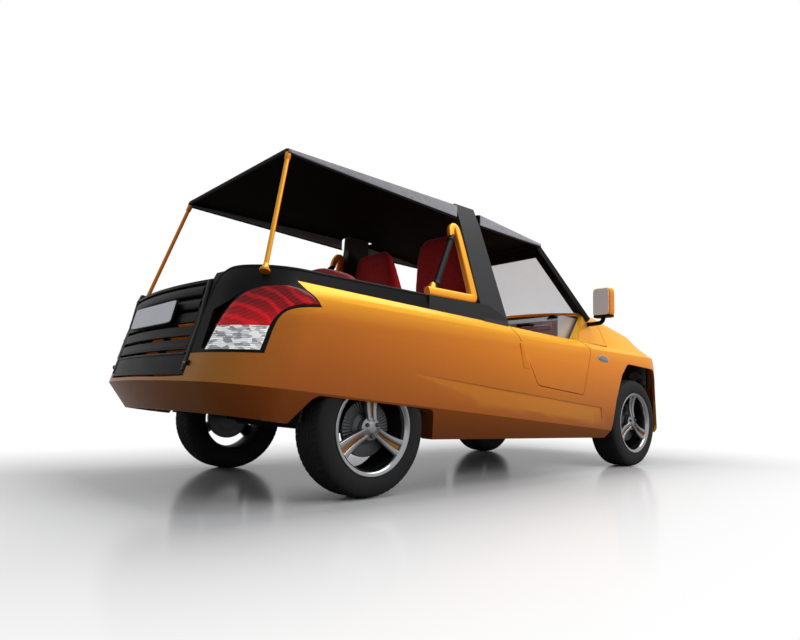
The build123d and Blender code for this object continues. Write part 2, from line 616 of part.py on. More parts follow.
HANDLE_X, HANDLE_Z, HANDLE_OUT, HANDLE_R = (375.0, 480.0), 1028.0, 48.0, 11.0
grab = rod((HANDLE_X[0], DASH_REAR - HANDLE_OUT, HANDLE_Z),
           (HANDLE_X[1], DASH_REAR - HANDLE_OUT, HANDLE_Z), HANDLE_R)
for x in HANDLE_X:
    grab += Pos(x, DASH_REAR - HANDLE_OUT, HANDLE_Z) * Sphere(HANDLE_R)
    grab += rod((x, DASH_REAR - HANDLE_OUT, HANDLE_Z), (x, DASH_REAR + 8, HANDLE_Z), HANDLE_R)
grab -= dash
keep("grab_handle", grab)

# Seats: plain closed solids where the padding is
SEAT_X = 350.0
BACK = [
    # z, middle y, half width, thickness
    (600, RA + 1075, 235, 130), (1000, RA + 965, 275, 120), (1210, RA + 930, 285, 110),
    (1400, RA + 905, 240, 95), (1560, RA + 893, 165, 70),
]


def back_section(z, y, half, thick, x=0.0):
    return Pos(x, y, z) * RectangleRounded(2 * half, thick, thick * 0.3)


seat_back = loft([back_section(*row, x=SEAT_X) for row in BACK], ruled=True)
cushion = block((SEAT_X - 250, SEAT_X + 250), (RA + 1010, RA + 1530), (470, 600))
cushion = fillet(cushion.edges(), 28)
keep("front_seats", *both(seat_back + cushion))
keep("seat_bases", *both(block((SEAT_X - 200, SEAT_X + 200), (RA + 1040, RA + 1460),
                               (FLOOR_Z, 470))))
BENCH = [
    # z, middle y, half width, thickness
    (720, RA + 150, 560, 110), (1120, RA + 105, 520, 100), (1200, RA + 96, 440, 90),
    (1245, RA + 90, 300, 70),
]
bench = loft([back_section(*row) for row in BENCH], ruled=True)
bench += block((-560, 560), (RA + 95, RA + 490), (BED_Z, 720))
keep("rear_bench", bench)

# Wheels
TYRE = [
    # radius, offset from the middle plane
    (212.3, 0), (212.3, 97.5), (226.5, 97.5), (236, 103), (278, 107), (308, 101), (325, 84),
    (330, 58), (330, 0),
]


def revolved(profile, y, x, way):
    """Turn a half profile of (radius, offset) and its mirror about a wheel's axle."""
    points = [(r, w) for r, w in profile] + [(r, -w) for r, w in reversed(profile) if w]
    face = Plane.XZ * make_face(Polyline(*[(w, r) for r, w in points], close=True))
    return Pos(x, y, TYRE_RADIUS) * revolve(face, Axis.X, 360)


LIP, BARREL_OUT, BARREL_IN, HUB, HUB_BORE = RIM_RADIUS, 212.0, 200.0, 62.0, 15.0
SPOKE_IN, SPOKE_OUT = 52.0, 76.0     # from the middle plane outward
SPOKE_BAR, SPOKE_SLOT = 20.0, 12.0
DISC = 140.0


def rim(y, way):
    """Wheel with three double spokes, a brake disc inside and a bore for its stub axle."""
    barrel = Cylinder(BARREL_OUT, 196) - Cylinder(BARREL_IN, 200)
    for end in (-1, 1):
        barrel += Pos(0, 0, end * 101) * (Cylinder(LIP, 6) - Cylinder(BARREL_IN, 8))
    middle = (SPOKE_IN + SPOKE_OUT) / 2
    wheel = barrel + Pos(0, 0, middle - 8) * Cylinder(HUB, SPOKE_OUT - SPOKE_IN + 16)
    for turn in range(3):
        for bar in (-1, 1):
            wheel += Rot(0, 0, 120 * turn) * Pos(
                0, (HUB - 10 + BARREL_IN + 4) / 2, middle) * Pos(
                bar * (SPOKE_BAR + SPOKE_SLOT) / 2, 0, 0) * Box(
                SPOKE_BAR, BARREL_IN + 4 - HUB + 10, SPOKE_OUT - SPOKE_IN)
    wheel += Pos(0, 0, 22) * Cylinder(DISC, 22)
    wheel += Pos(0, 0, 30) * Cylinder(45, 40)
    wheel -= Pos(0, 0, 20) * Cylinder(HUB_BORE + SEAT_GAP, 70)
    return Pos(way * WHEEL_X, y, TYRE_RADIUS) * Rot(0, way * 90, 0) * Rot(0, 0, 90) * wheel


for end, y in (("front", FA), ("rear", RA)):
    for side, way in (("left", -1), ("right", 1)):
        keep(f"tyre_{end}_{side}", revolved(TYRE, y, way * WHEEL_X, way))
        keep(f"rim_{end}_{side}", rim(y, way))

# Front knuckles: an upright with a stub axle, turning on two ball pins
KING_X = WHEEL_X - 15.0
KNUCKLE_LOW, KNUCKLE_TOP = TYRE_RADIUS - 115, TYRE_RADIUS + 115
stub_end = WHEEL_X + 50.0
for side, way in (("left", -1), ("right", 1)):
    upright = block(sorted((way * (KING_X - 17), way * (KING_X + 16))), (FA - 26, FA + 26),
                    (KNUCKLE_LOW, KNUCKLE_TOP))
    upright += rod((way * KING_X, FA, TYRE_RADIUS), (way * stub_end, FA, TYRE_RADIUS), HUB_BORE)
    for z in (KNUCKLE_LOW, KNUCKLE_TOP):
        upright -= Pos(way * KING_X, FA, z) * Cylinder(9 + SEAT_GAP, 50)
    keep(f"knuckle_{side}", upright)

# Front crossmember with its lower and upper arms
ARM = 22.0
TOW_X, TOW_BORE = 150.0, 10.0        # screwed eye, reached under the bumper
subframe = block((-360, 360), (FA - 60, FA + 60), (190, BEAM_TOP))
for way in (-1, 1):
    for z, grow in ((KNUCKLE_LOW, -1), (KNUCKLE_TOP, 1)):
        face = z + grow * SEAT_GAP
        far = face + grow * ARM
        span = sorted((way * 300, way * (KING_X + 8)))
        subframe += block(span, (FA - 18, FA + 18), sorted((face, far)))
        subframe += Pos(way * KING_X, FA, z - grow * 10) * Cylinder(9, 22 + 2 * SEAT_GAP)
    subframe += block(sorted((way * 330, way * (WELL_X - SHEET))), (FA + 50, FA + 130),
                      (200, 340))
    subframe += block(sorted((way * 300, way * 350)), (FA - 24, FA + 24), (200, KNUCKLE_TOP + 20))
subframe -= Pos(TOW_X, FA + 60, 220) * Rot(90, 0, 0) * Cylinder(TOW_BORE, 80)
keep("front_subframe", subframe)

# Rear axle: beam, stub axles, trailing arms and spring posts
axle = rod((-575, RA, TYRE_RADIUS), (575, RA, TYRE_RADIUS), 36)
for way in (-1, 1):
    axle += rod((way * 570, RA, TYRE_RADIUS), (way * stub_end, RA, TYRE_RADIUS), HUB_BORE)
    axle += block(sorted((way * 480, way * 530)), (RA, STEP_Y - 12 - SHEET), (300, 350))
    axle += rod((way * 470, RA - 10, TYRE_RADIUS), (way * 470, RA - 10, BED_Z - SHEET), 34)
keep("rear_axle", axle)

# Lamps, grille and trim at the nose
face_zone = block((-900, 900), (FA + 440, NOSE + 10), (BUMPER_TOP, 852))
nose_skin = (outer - hull(LEVELS, 30.0)) & face_zone
head_box = block((LAMP_IN, LAMP_OUT), (FA + 300, NOSE + 10), (BUMPER_TOP, 900))
headlamp = nose_skin & head_box & side_view(
    [(FA, 0), (NOSE, 0), (NOSE, belt(NOSE)), (FA, belt(FA))], (0, 900))
keep("headlamps", *both(headlamp))
grille = nose_skin & block((-LAMP_IN, LAMP_IN), (FA + 300, NOSE + 10), (BUMPER_TOP, 860))
grille &= side_view([(FA, 0), (NOSE, 0), (NOSE, belt(NOSE)), (FA, belt(FA))], (-900, 900))
for i in range(4):
    z = BUMPER_TOP + 40 + i * 52
    grille -= block((-LAMP_IN + 30, LAMP_IN - 30), (FA + 300, NOSE + 10), (z - 10, z + 10))
keep("front_grille", grille)

# Door mirrors on the cowl, number plate, side lamps
MIRROR_X, MIRROR_Y, MIRROR_Z = (802.0, 945.0), (RA + 1988, RA + 2062), (1082.0, 1300.0)
ARM_Y, ARM_Z = RA + 2022.0, 1046.0
mirror_shell = fillet(block(MIRROR_X, MIRROR_Y, MIRROR_Z).edges(), 18)
mirror_arm = rod((720, ARM_Y, ARM_Z), (876, ARM_Y, ARM_Z), 13)
mirror_arm += Pos(876, ARM_Y, ARM_Z) * Sphere(13)
mirror_arm += rod((876, ARM_Y, ARM_Z), (876, ARM_Y, MIRROR_Z[0] + 10), 13)
door_mirror = (mirror_arm + mirror_shell) - upper
keep("mirrors", *both(door_mirror))
PLATE_WIDE, PLATE_HIGH, PLATE_THICK = 560.0, 118.0, 12.0
plate_lean = 0.234
PLATE_MIDDLE = (0, RA - 776.5, 860.0)
plate = Plane(origin=PLATE_MIDDLE, x_dir=(1, 0, 0),
              z_dir=(0, -cos(plate_lean), sin(plate_lean))) * Box(
    PLATE_WIDE, PLATE_HIGH, PLATE_THICK)
keep("number_plate", plate - gate)

os.makedirs("parts", exist_ok=True)
for name, solids in NODES.items():
    whole = [s for piece in solids for s in piece.solids()]
    shape = whole[0] if len(whole) == 1 else Compound(children=whole)
    export_step(shape, f"parts/{name}.step")
    print(name, len(whole), [round(s.volume / 1e6, 2) for s in whole])
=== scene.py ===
# %% [markdown]
# # An open four-seat concept car
# The car stands in the frame that the CAD solids give: x to its right, y forward, z up, in metres.
# Doors, tailgate, bonnet and wheels are already solids with joints. What this lesson adds is what
# the eye sees: paint, cloth, lamp glass, slats, spokes, seams, and a studio to look at them in.

# %% The frame
import math
import bmesh
import bpy
import numpy as np
from mathutils import Matrix, Vector


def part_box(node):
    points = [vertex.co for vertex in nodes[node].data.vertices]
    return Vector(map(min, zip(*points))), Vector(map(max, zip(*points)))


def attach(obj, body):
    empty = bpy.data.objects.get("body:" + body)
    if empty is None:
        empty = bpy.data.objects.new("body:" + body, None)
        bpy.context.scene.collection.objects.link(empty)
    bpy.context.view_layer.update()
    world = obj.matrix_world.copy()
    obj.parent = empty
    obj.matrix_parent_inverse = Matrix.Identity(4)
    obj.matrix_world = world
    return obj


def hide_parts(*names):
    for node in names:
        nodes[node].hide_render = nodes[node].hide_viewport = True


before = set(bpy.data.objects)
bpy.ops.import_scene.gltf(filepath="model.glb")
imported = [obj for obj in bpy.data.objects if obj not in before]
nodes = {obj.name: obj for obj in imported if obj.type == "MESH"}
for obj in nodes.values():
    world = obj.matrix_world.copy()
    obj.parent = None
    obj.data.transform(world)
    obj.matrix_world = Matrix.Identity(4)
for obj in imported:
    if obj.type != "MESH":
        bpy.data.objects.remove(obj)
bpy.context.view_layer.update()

REAR_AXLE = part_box("rim_rear_right")[0].y / 2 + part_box("rim_rear_right")[1].y / 2
FRONT_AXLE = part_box("rim_front_right")[0].y / 2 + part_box("rim_front_right")[1].y / 2
TAIL = -2.055
print("nodes", len(nodes), "axles", round(REAR_AXLE, 3), round(FRONT_AXLE, 3))

# %% [markdown]
# ## The camera
# A photograph fixes seven numbers: where the lens is, how it is turned, and how wide it sees.
# They were solved from the wheels, the sill and the roof corners. The picture was cropped off
# centre, so the lens also has a small shift.

# %% Camera
CAMERA_PLACE = (3.1021, -3.026, 0.4832)
CAMERA_FORWARD = (-0.7248, 0.6807, 0.1065)
CAMERA_UP = (0.0621, -0.0894, 0.9940)
forward = Vector(CAMERA_FORWARD).normalized()
right = forward.cross(Vector(CAMERA_UP)).normalized()
turned = Matrix((right, right.cross(forward), -forward)).transposed().to_4x4()
lens = bpy.data.cameras.new("camera")
lens.sensor_width, lens.lens = 36.0, 27.01
lens.shift_x, lens.shift_y = -0.0307, 0.0171
camera = bpy.data.objects.new("camera", lens)
camera.matrix_world = Matrix.Translation(CAMERA_PLACE) @ turned
bpy.context.scene.collection.objects.link(camera)
bpy.context.scene.camera = camera

# %% [markdown]
# ## Shader maths as Python
# A procedural finish is a sum of small formulas: how far along a weave we are, how close to an
# edge. Wiring a Math node by hand for each sign hides the formula, so one class wraps a socket
# and lets Python's own signs add the nodes. A second class holds a material and adds any other
# node.

# %% Shader maths
class Socket:
    """A node's output. Arithmetic on it adds a Math node and gives that node's output."""

    def __init__(self, tree, socket):
        self.tree, self.socket = tree, socket

    def math(self, operation, *others):
        node = self.tree.nodes.new("ShaderNodeMath")
        node.operation = operation
        for place, value in zip(node.inputs, (self, *others)):
            if isinstance(value, Socket):
                self.tree.links.new(value.socket, place)
            else:
                place.default_value = value
        return Socket(self.tree, node.outputs[0])

    def reflected(self, operation, other):
        """other OPERATION self, for a number on the left."""
        return self.number(other).math(operation, self)

    def number(self, value):
        node = self.tree.nodes.new("ShaderNodeValue")
        node.outputs[0].default_value = value
        return Socket(self.tree, node.outputs[0])

    def __add__(self, other): return self.math("ADD", other)
    def __radd__(self, other): return self.math("ADD", other)
    def __sub__(self, other): return self.math("SUBTRACT", other)
    def __rsub__(self, other): return self.reflected("SUBTRACT", other)
    def __mul__(self, other): return self.math("MULTIPLY", other)
    def __rmul__(self, other): return self.math("MULTIPLY", other)
    def __truediv__(self, other): return self.math("DIVIDE", other)
    def __pow__(self, other): return self.math("POWER", other)
    def __abs__(self): return self.math("ABSOLUTE")
    def sine(self): return self.math("SINE")
    def least(self, other): return self.math("MINIMUM", other)
    def most(self, other): return self.math("MAXIMUM", other)

    def rise(self, low, high):
        """0 below low, 1 above high, and a straight rise between them."""
        return ((self - low) / (high - low)).most(0.0).least(1.0)


class Finish:
    """A material with one Principled shader. Its constants are set on the shader's own sockets."""

    def __init__(self, name, **constants):
        self.material = bpy.data.materials.new(name)
        self.material.use_nodes = True
        self.tree = self.material.node_tree
        self.tree.nodes.clear()
        settings = {key.replace("_", " "): value for key, value in constants.items()}
        self.shader = self.node("ShaderNodeBsdfPrincipled", inputs=settings)
        self.node("ShaderNodeOutputMaterial", inputs={"Surface": self.shader})
        self.place = self.node("ShaderNodeTexCoord", output="Object")

    def node(self, kind, settings=None, inputs=None, output=0):
        """Adds a node: its settings first, then a value or a link for each socket."""
        made = self.tree.nodes.new(kind)
        for key, value in (settings or {}).items():
            if key == "stops":
                self.stops(made.color_ramp, value)
            else:
                setattr(made, key, value)
        for key, value in (inputs or {}).items():
            if isinstance(value, Socket):
                self.tree.links.new(value.socket, made.inputs[key])
            else:
                made.inputs[key].default_value = value
        return Socket(self.tree, made.outputs[output]) if made.outputs else made

    def stops(self, ramp, stops):
        while len(ramp.elements) < len(stops):
            ramp.elements.new(0.5)
        for element, (place, colour) in zip(ramp.elements, stops):
            element.position, element.color = place, colour

    def feed(self, **values):
        """Links what varies over the surface to the shader: Base_Color, Roughness, Normal."""
        for key, value in values.items():
            self.tree.links.new(value.socket, self.shader.socket.node.inputs[key.replace("_", " ")])
        return self

    def along(self):
        """The x, y and z of a point of the piece, as three sockets."""
        split = self.tree.nodes.new("ShaderNodeSeparateXYZ")
        self.tree.links.new(self.place.socket, split.inputs[0])
        return [Socket(self.tree, out) for out in split.outputs]

    def facing(self):
        """The x, y and z of the surface's own direction."""
        split = self.tree.nodes.new("ShaderNodeSeparateXYZ")
        normal = self.node("ShaderNodeTexCoord", output="Normal")
        self.tree.links.new(normal.socket, split.inputs[0])
        return [Socket(self.tree, out) for out in split.outputs]

    def noise(self, scale, detail=2.0, rough=0.5, place=None):
        return self.node("ShaderNodeTexNoise", inputs={
            "Vector": place or self.place, "Scale": scale, "Detail": detail, "Roughness": rough})

    def mix(self, share, first, second):
        """Colour between first and second, at share."""
        made = self.node("ShaderNodeMix", {"data_type": "RGBA"}, {
            0: share, 6: first, 7: second}, output=2)
        return made

    def bump(self, height, distance, strength=1.0):
        return self.node("ShaderNodeBump", inputs={
            "Height": height, "Distance": distance, "Strength": strength})


def colour(red, green, blue):
    """A colour as it looks on a screen, 0 to 255, in the linear numbers that a shader reads."""
    share = np.array((red, green, blue)) / 255.0
    linear = np.where(share <= 0.04045, share / 12.92, ((share + 0.055) / 1.055) ** 2.4)
    return (*[float(v) for v in linear], 1.0)


# %% [markdown]
# ## The studio
# The car stands on a pale, slightly shiny floor that runs out into white. A white sheet would
# light the car from below, so the white belongs to the camera's own rays: light that bounces
# finds a darker floor, which keeps the sills and the roof's underside deep.

# %% Floor and world
def studio_floor():
    """Floor square whose colour fades to white with the distance from its middle."""
    size = 40.0
    mesh = bpy.data.meshes.new("floor")
    mesh.from_pydata([(-size, -size, 0), (size, -size, 0), (size, size, 0), (-size, size, 0)],
                     [], [(0, 1, 2, 3)])
    floor = bpy.data.objects.new("floor", mesh)
    bpy.context.scene.collection.objects.link(floor)
    finish = Finish("studio_floor", Roughness=0.16)
    x, y, _ = finish.along()
    beside, beyond = (abs(x) - 0.84).most(0.0), (abs(y) - 2.0).most(0.0)
    far = ((beside * beside + beyond * beyond) ** 0.5).rise(0.1, 1.7)
    path = finish.tree.nodes.new("ShaderNodeLightPath")
    camera_ray = Socket(finish.tree, path.outputs["Is Camera Ray"])
    seen = finish.mix(far, colour(214, 215, 217), colour(250, 250, 250))
    finish.feed(Base_Color=finish.mix(camera_ray, colour(104, 101, 97), seen))
    glow = finish.node("ShaderNodeEmission", inputs={"Color": (1, 1, 1, 1), "Strength": 1.0})
    both = finish.node("ShaderNodeMixShader", inputs={
        0: camera_ray * far, 1: finish.shader, 2: glow})
    output = next(n for n in finish.tree.nodes if n.type == "OUTPUT_MATERIAL")
    finish.tree.links.new(both.socket, output.inputs["Surface"])
    mesh.materials.append(finish.material)


def studio_world(level, shine):
    """Soft light of one level all round, a dimmer room in reflections, and white for the camera."""
    world = bpy.data.worlds.new("studio")
    bpy.context.scene.world = world
    world.use_nodes = True
    tree = world.node_tree
    back = tree.nodes["Background"]
    path = tree.nodes.new("ShaderNodeLightPath")
    seen = (Socket(tree, path.outputs["Is Camera Ray"])
            + Socket(tree, path.outputs["Is Transmission Ray"])).least(1.0)
    glossy = Socket(tree, path.outputs["Is Glossy Ray"]) * (1.0 - seen)
    strength = level + seen * (1.0 - level) + glossy * (shine - level)
    back.inputs["Color"].default_value = (1, 1, 1, 1)
    tree.links.new(strength.socket, back.inputs["Strength"])


def soft_lamp(name, place, target, wide, high, power):
    """Rectangular lamp that looks at a point."""
    data = bpy.data.lights.new(name, "AREA")
    data.shape, data.size, data.size_y, data.energy = "RECTANGLE", wide, high, power
    lamp = bpy.data.objects.new(name, data)
    lamp.location = place
    lamp.rotation_euler = (Vector(target) - Vector(place)).to_track_quat("-Z", "Y").to_euler()
    bpy.context.scene.collection.objects.link(lamp)
    lamp.visible_glossy = name == "overhead"


studio_floor()
studio_world(0.42, 0.55)
soft_lamp("overhead", (1.0, 0.8, 5.5), (0, 0.2, 0.6), 4.5, 6.0, 210)
soft_lamp("right_side", (5.5, 2.6, 2.6), (0, 0.6, 0.7), 4.0, 3.0, 265)
soft_lamp("left_rear", (-4.5, -4.0, 3.2), (0, -1.0, 0.8), 3.0, 3.0, 40)
view = bpy.context.scene.view_settings
view.view_transform = "Standard"

# %% [markdown]
# ## Finishes
# The body is a metallic orange under clear lacquer: the colour coat holds fine flakes that tilt
# each its own way. Light and shade are painted into its colour: darker low down, a painted
# highlight on faces that look up, a redder painted shade towards the rear and an olive painted
# shade on the tail's faces that look back. The lacquer on top has a faint
# ripple, as sprayed paint has.

# %% Body paint
def body_paint():
    finish = Finish("body_paint", Coat_Weight=0.30, Coat_Roughness=0.05, IOR=1.33)
    _, y, z = finish.along()
    _, fy, fz = finish.facing()
    flakes = finish.node("ShaderNodeTexVoronoi", inputs={"Vector": finish.place, "Scale": 1400.0},
                         output="Color")
    spark = finish.node("ShaderNodeSeparateColor", inputs={0: flakes})
    shade = finish.noise(1.4, 2.0)
    # Painted light in the colour: deep is a painted shade low on the body, light a painted
    # highlight on faces that look up
    deep, mid = colour(142, 66, 4), colour(232, 130, 8)
    light = colour(255, 184, 22)
    painted_rear_shade, painted_tail_shade = colour(138, 46, 10), colour(140, 104, 30)
    low = finish.mix(z.rise(0.28, 0.74), deep, mid)
    tone = finish.mix(fz.rise(0.0, 0.45), low, light)
    # painted shade: redder and darker towards the rear, below the shoulder
    rear_shade_share = (0.0 - y).rise(-0.2, 1.95) * (1.0 - z.rise(0.80, 0.96))
    tone = finish.mix(rear_shade_share * 0.62, tone, painted_rear_shade)
    # painted shade: an olive cast on the tail's faces that look back
    tone = finish.mix((0.0 - fy).rise(0.55, 1.0) * (0.0 - y).rise(1.8, 1.9) * 0.5, tone, painted_tail_shade)
    tone = finish.mix(spark * 0.08, tone, colour(255, 200, 110))
    finish.feed(
        Base_Color=tone,
        Roughness=0.30 + spark * 0.10 + shade * 0.04,
        Metallic=0.35 + spark * 0.15,
        Normal=finish.bump(finish.noise(520.0, 1.0), 0.00006, 0.35))
    return finish.material


# %% [markdown]
# Satin black covers the tailgate, the rails and the windscreen pillars: dark, with a fine
# orange-peel skin and a patchy painted highlight on faces that look up. The grained plastic of
# floor and trim is the same idea with coarser grain.

# %% Black and grey finishes
def coated(name, dark, top_highlight_tone, rough, grain, depth, coat=0.0, metallic=0.0, shine=0.22):
    """Painted or moulded surface: a base colour, a painted highlight on faces that look up, and a
    fine grain.
    """
    finish = Finish(name, Coat_Weight=coat, Coat_Roughness=0.12, Specular_IOR_Level=shine)
    _, _, fz = finish.facing()
    cloud = finish.noise(7.0, 3.0)
    fine = finish.noise(grain, 2.0)
    # painted highlight: paler on faces that look up, in patches
    painted_top_highlight = fz.rise(0.2, 1.0) * (0.25 + cloud * 0.45)
    finish.feed(
        Base_Color=finish.mix(painted_top_highlight, dark, top_highlight_tone),
        Roughness=rough + cloud * 0.10,
        Metallic=finish.noise(3.0) * 0.04 + metallic,
        Normal=finish.bump(fine, depth, 0.5))
    return finish.material


paint = body_paint()
satin_black = coated("satin_black", colour(11, 11, 12), colour(38, 38, 41), 0.38, 900.0, 0.00012,
                     coat=0.03, shine=0.14)
hoop_grey = coated("hoop_grey", colour(42, 42, 44), colour(70, 70, 73), 0.44, 700.0, 0.00015,
                   coat=0.08)
grained_trim = coated("grained_trim", colour(30, 30, 31), colour(48, 48, 48), 0.62, 330.0, 0.0004)
bare_floor = coated("floor_lining", colour(34, 34, 35), colour(56, 55, 54), 0.75, 240.0, 0.0006)
cast_black = coated("cast_black", colour(30, 30, 32), colour(60, 58, 56), 0.55, 160.0, 0.0007,
                    metallic=0.5)
motor_metal = coated("motor_metal", colour(120, 121, 124), colour(150, 150, 150), 0.42, 220.0,
                     0.0005, metallic=0.8)


# %% [markdown]
# Each metal has its own surface: the wheels are polished alloy with faint turning marks, the
# grooves between their bars are anodised gold, and the outer ring is near chrome.

# %% Metals
def metal(name, tone, rough, marks, depth):
    finish = Finish(name, Metallic=1.0)
    haze = finish.noise(18.0, 3.0)
    finish.feed(
        Base_Color=finish.mix(haze * 0.25, tone, colour(120, 120, 122)),
        Roughness=rough + haze * 0.12,
        Normal=finish.bump(finish.noise(marks, 1.0), depth, 0.4))
    return finish.material


polished = metal("polished_alloy", colour(188, 189, 193), 0.24, 600.0, 0.00008)
chrome = metal("bright_ring", colour(206, 207, 210), 0.12, 300.0, 0.00004)
gold = metal("gold_groove", colour(176, 116, 48), 0.30, 500.0, 0.0001)
dark_metal = metal("dark_barrel", colour(22, 23, 25), 0.50, 400.0, 0.0001)
brushed = metal("brushed_steel", colour(104, 105, 108), 0.38, 450.0, 0.0001)


# %% [markdown]
# Rubber is nearly black and dull, with a faint mottle a little greyer here and there.

# %% Rubber
def tyre_rubber():
    finish = Finish("tyre_rubber", Specular_IOR_Level=0.35)
    mottle = finish.noise(14.0, 4.0)
    finish.feed(
        Base_Color=finish.mix(mottle, colour(20, 20, 21), colour(36, 36, 37)),
        Roughness=0.58 + mottle * 0.2,
        Normal=finish.bump(finish.noise(420.0, 2.0), 0.0003, 0.5))
    return finish.material


rubber = tyre_rubber()


# %% [markdown]
# ## Lamp glass and window glass
# A tail lamp is a clear shell over mirrors. Modelled as glass over nothing it looks like an empty
# box, so the lens carries what shows through it, with light painted in: red above, clear below,
# painted glints of the mirror facets in streaks, painted reflections of facets in the clear part,
# a faint painted glow, and a gloss on top.

# %% Lamp and window finishes
LAMP_SPLIT = 0.7735


def tail_lens():
    finish = Finish("tail_lens", Coat_Weight=0.30, Coat_Roughness=0.02, Roughness=0.2,
                    Specular_IOR_Level=0.2, Emission_Strength=0.42)
    _, y, z = finish.along()
    red = z.rise(LAMP_SPLIT - 0.001, LAMP_SPLIT + 0.001)
    wander = finish.noise(7.0, 2.0)
    # painted glints: mirror facets brighten the red in slanting streaks
    painted_streak_glints = ((y * 0.9 + z * 1.1) * 74.0 + wander * 9.0).sine().rise(0.1, 1.0)
    fine = ((y * 0.7 - z * 1.2) * 330.0 + wander * 14.0).sine().rise(-0.6, 1.0)
    cells = finish.node("ShaderNodeTexVoronoi", inputs={"Vector": finish.node(
        "ShaderNodeMapping", inputs={"Vector": finish.place, "Scale": (26.0, 44.0, 95.0)}),
        "Scale": 1.0}, output="Color")
    cell = finish.node("ShaderNodeSeparateColor", inputs={0: cells})
    low_red = (1.0 - z.rise(LAMP_SPLIT + 0.01, LAMP_SPLIT + 0.10)) * 0.45
    # glow is the share of bright red: painted glints from the streaks and fine lines, more low down
    glow = (painted_streak_glints * 0.55 + fine * 0.18 + low_red + cell * 0.10).least(1.0)
    deep_red = finish.mix(glow, colour(84, 0, 10), colour(214, 0, 22))
    dark_top = z.rise(0.875, 0.955) * 0.55
    deep_red = finish.mix(dark_top, deep_red, colour(62, 0, 6))
    # painted reflections in the clear part: facets bright and dark by cell, darker along the ribs
    clear = finish.mix(cell.rise(0.1, 0.6), colour(150, 152, 158), colour(252, 252, 254))
    ribs = ((z + wander * 0.006) * 760.0).sine().rise(0.45, 0.95)
    clear = finish.mix(ribs * 0.7, clear, colour(58, 59, 63))
    shown = finish.mix(red, clear, deep_red)
    # the lens also glows faintly in its own colours: a painted glow
    finish.feed(
        Base_Color=shown, Emission_Color=shown, Metallic=0.04 + cell * 0.04,
        Normal=finish.bump(cell * (1.0 - red) + painted_streak_glints * red, 0.0011, 0.45))
    return finish.material


def clear_glass(name, tint, rough, alpha):
    finish = Finish(name, IOR=1.45, Coat_Weight=1.0, Coat_Roughness=0.01, Roughness=rough)
    haze = finish.noise(2.5, 2.0)
    finish.feed(
        Base_Color=finish.mix(haze * 0.3, tint, colour(255, 255, 255)),
        Alpha=alpha + haze * 0.05)
    return finish.material


def head_lens():
    finish = Finish("head_lens", Coat_Weight=1.0, Coat_Roughness=0.02, Roughness=0.12)
    x, _, z = finish.along()
    ribs = (x * 700.0).sine()
    bowl = ((z - 0.715) * (z - 0.715) * 3.0 + (abs(x) - 0.53) * (abs(x) - 0.53)) ** 0.5
    inner = 1.0 - bowl.rise(0.055, 0.075)
    tone = finish.mix(inner, colour(120, 123, 128), colour(236, 238, 242))
    finish.feed(Base_Color=tone, Metallic=0.4 + ribs * 0.05,
                Normal=finish.bump(ribs, 0.0008, 0.35))
    return finish.material


tail_glass, head_glass = tail_lens(), head_lens()
screen_glass = clear_glass("screen_glass", colour(196, 204, 208), 0.02, 0.30)
# mirror glass: a pale plate that is a painted reflection of the white studio
mirror_painted_reflection = coated("mirror_painted_reflection", colour(232, 234, 238), colour(246, 246, 248), 0.20, 50.0,
                     0.00002, coat=0.5)


def blank_plate():
    """White reflective sheet with a fine mesh of cells; it carries no characters."""
    finish = Finish("blank_plate", Coat_Weight=0.4, Coat_Roughness=0.1)
    cells = finish.node("ShaderNodeTexVoronoi", inputs={"Vector": finish.place, "Scale": 260.0})
    cloud = finish.noise(9.0, 2.0)
    tone = finish.mix(cloud * 0.6, colour(226, 229, 240), colour(205, 209, 224))
    finish.feed(Base_Color=tone, Roughness=0.34 + cells * 0.15,
                Normal=finish.bump(cells, 0.0001, 0.3))
    return finish.material


plate_white = blank_plate()

# %% [markdown]
# ## Cloth
# The roof is a woven sheet, grey above and black below: threads over and under in both
# directions, with slubs of lighter yarn. The seats are a tighter red cloth with a short nap,
# brighter where it catches the light edge-on.

# %% Cloths
def woven(name, dark, light, pitch, depth, under=None, sheen=0.0, rough=0.85):
    """Plain weave from two crossed waves, with thicker yarns here and there."""
    finish = Finish(name, Sheen_Weight=sheen, Sheen_Roughness=0.4, Roughness=rough,
                    Specular_IOR_Level=0.2)
    x, y, z = finish.along()
    turns = 2 * math.pi / pitch
    across, length = (x * turns).sine(), ((y + z) * turns).sine()
    weave = across * length
    slub = finish.noise(55.0, 3.0, place=finish.node(
        "ShaderNodeMapping", inputs={"Vector": finish.place, "Scale": (1.0, 9.0, 1.0)}))
    tone = finish.mix((weave * 0.35 + slub * 0.9).rise(0.1, 0.8), dark, light)
    if under:
        _, _, fz = finish.facing()
        tone = finish.mix(fz.rise(-0.15, -0.05), under, tone)
    finish.feed(Base_Color=tone, Normal=finish.bump(weave + slub * 0.6, depth, 0.6))
    return finish.material


roof_weave = woven("roof_weave", colour(84, 84, 88), colour(178, 178, 184), 0.0022, 0.0003,
                   under=colour(10, 10, 11))
seat_cloth = woven("seat_cloth", colour(132, 12, 20), colour(206, 38, 44), 0.0016, 0.0002,
                   sheen=0.35, rough=0.7)

# %% [markdown]
# ## Finishes on the CAD solids
# A solid whose shape is right keeps it, and only takes its finish here.

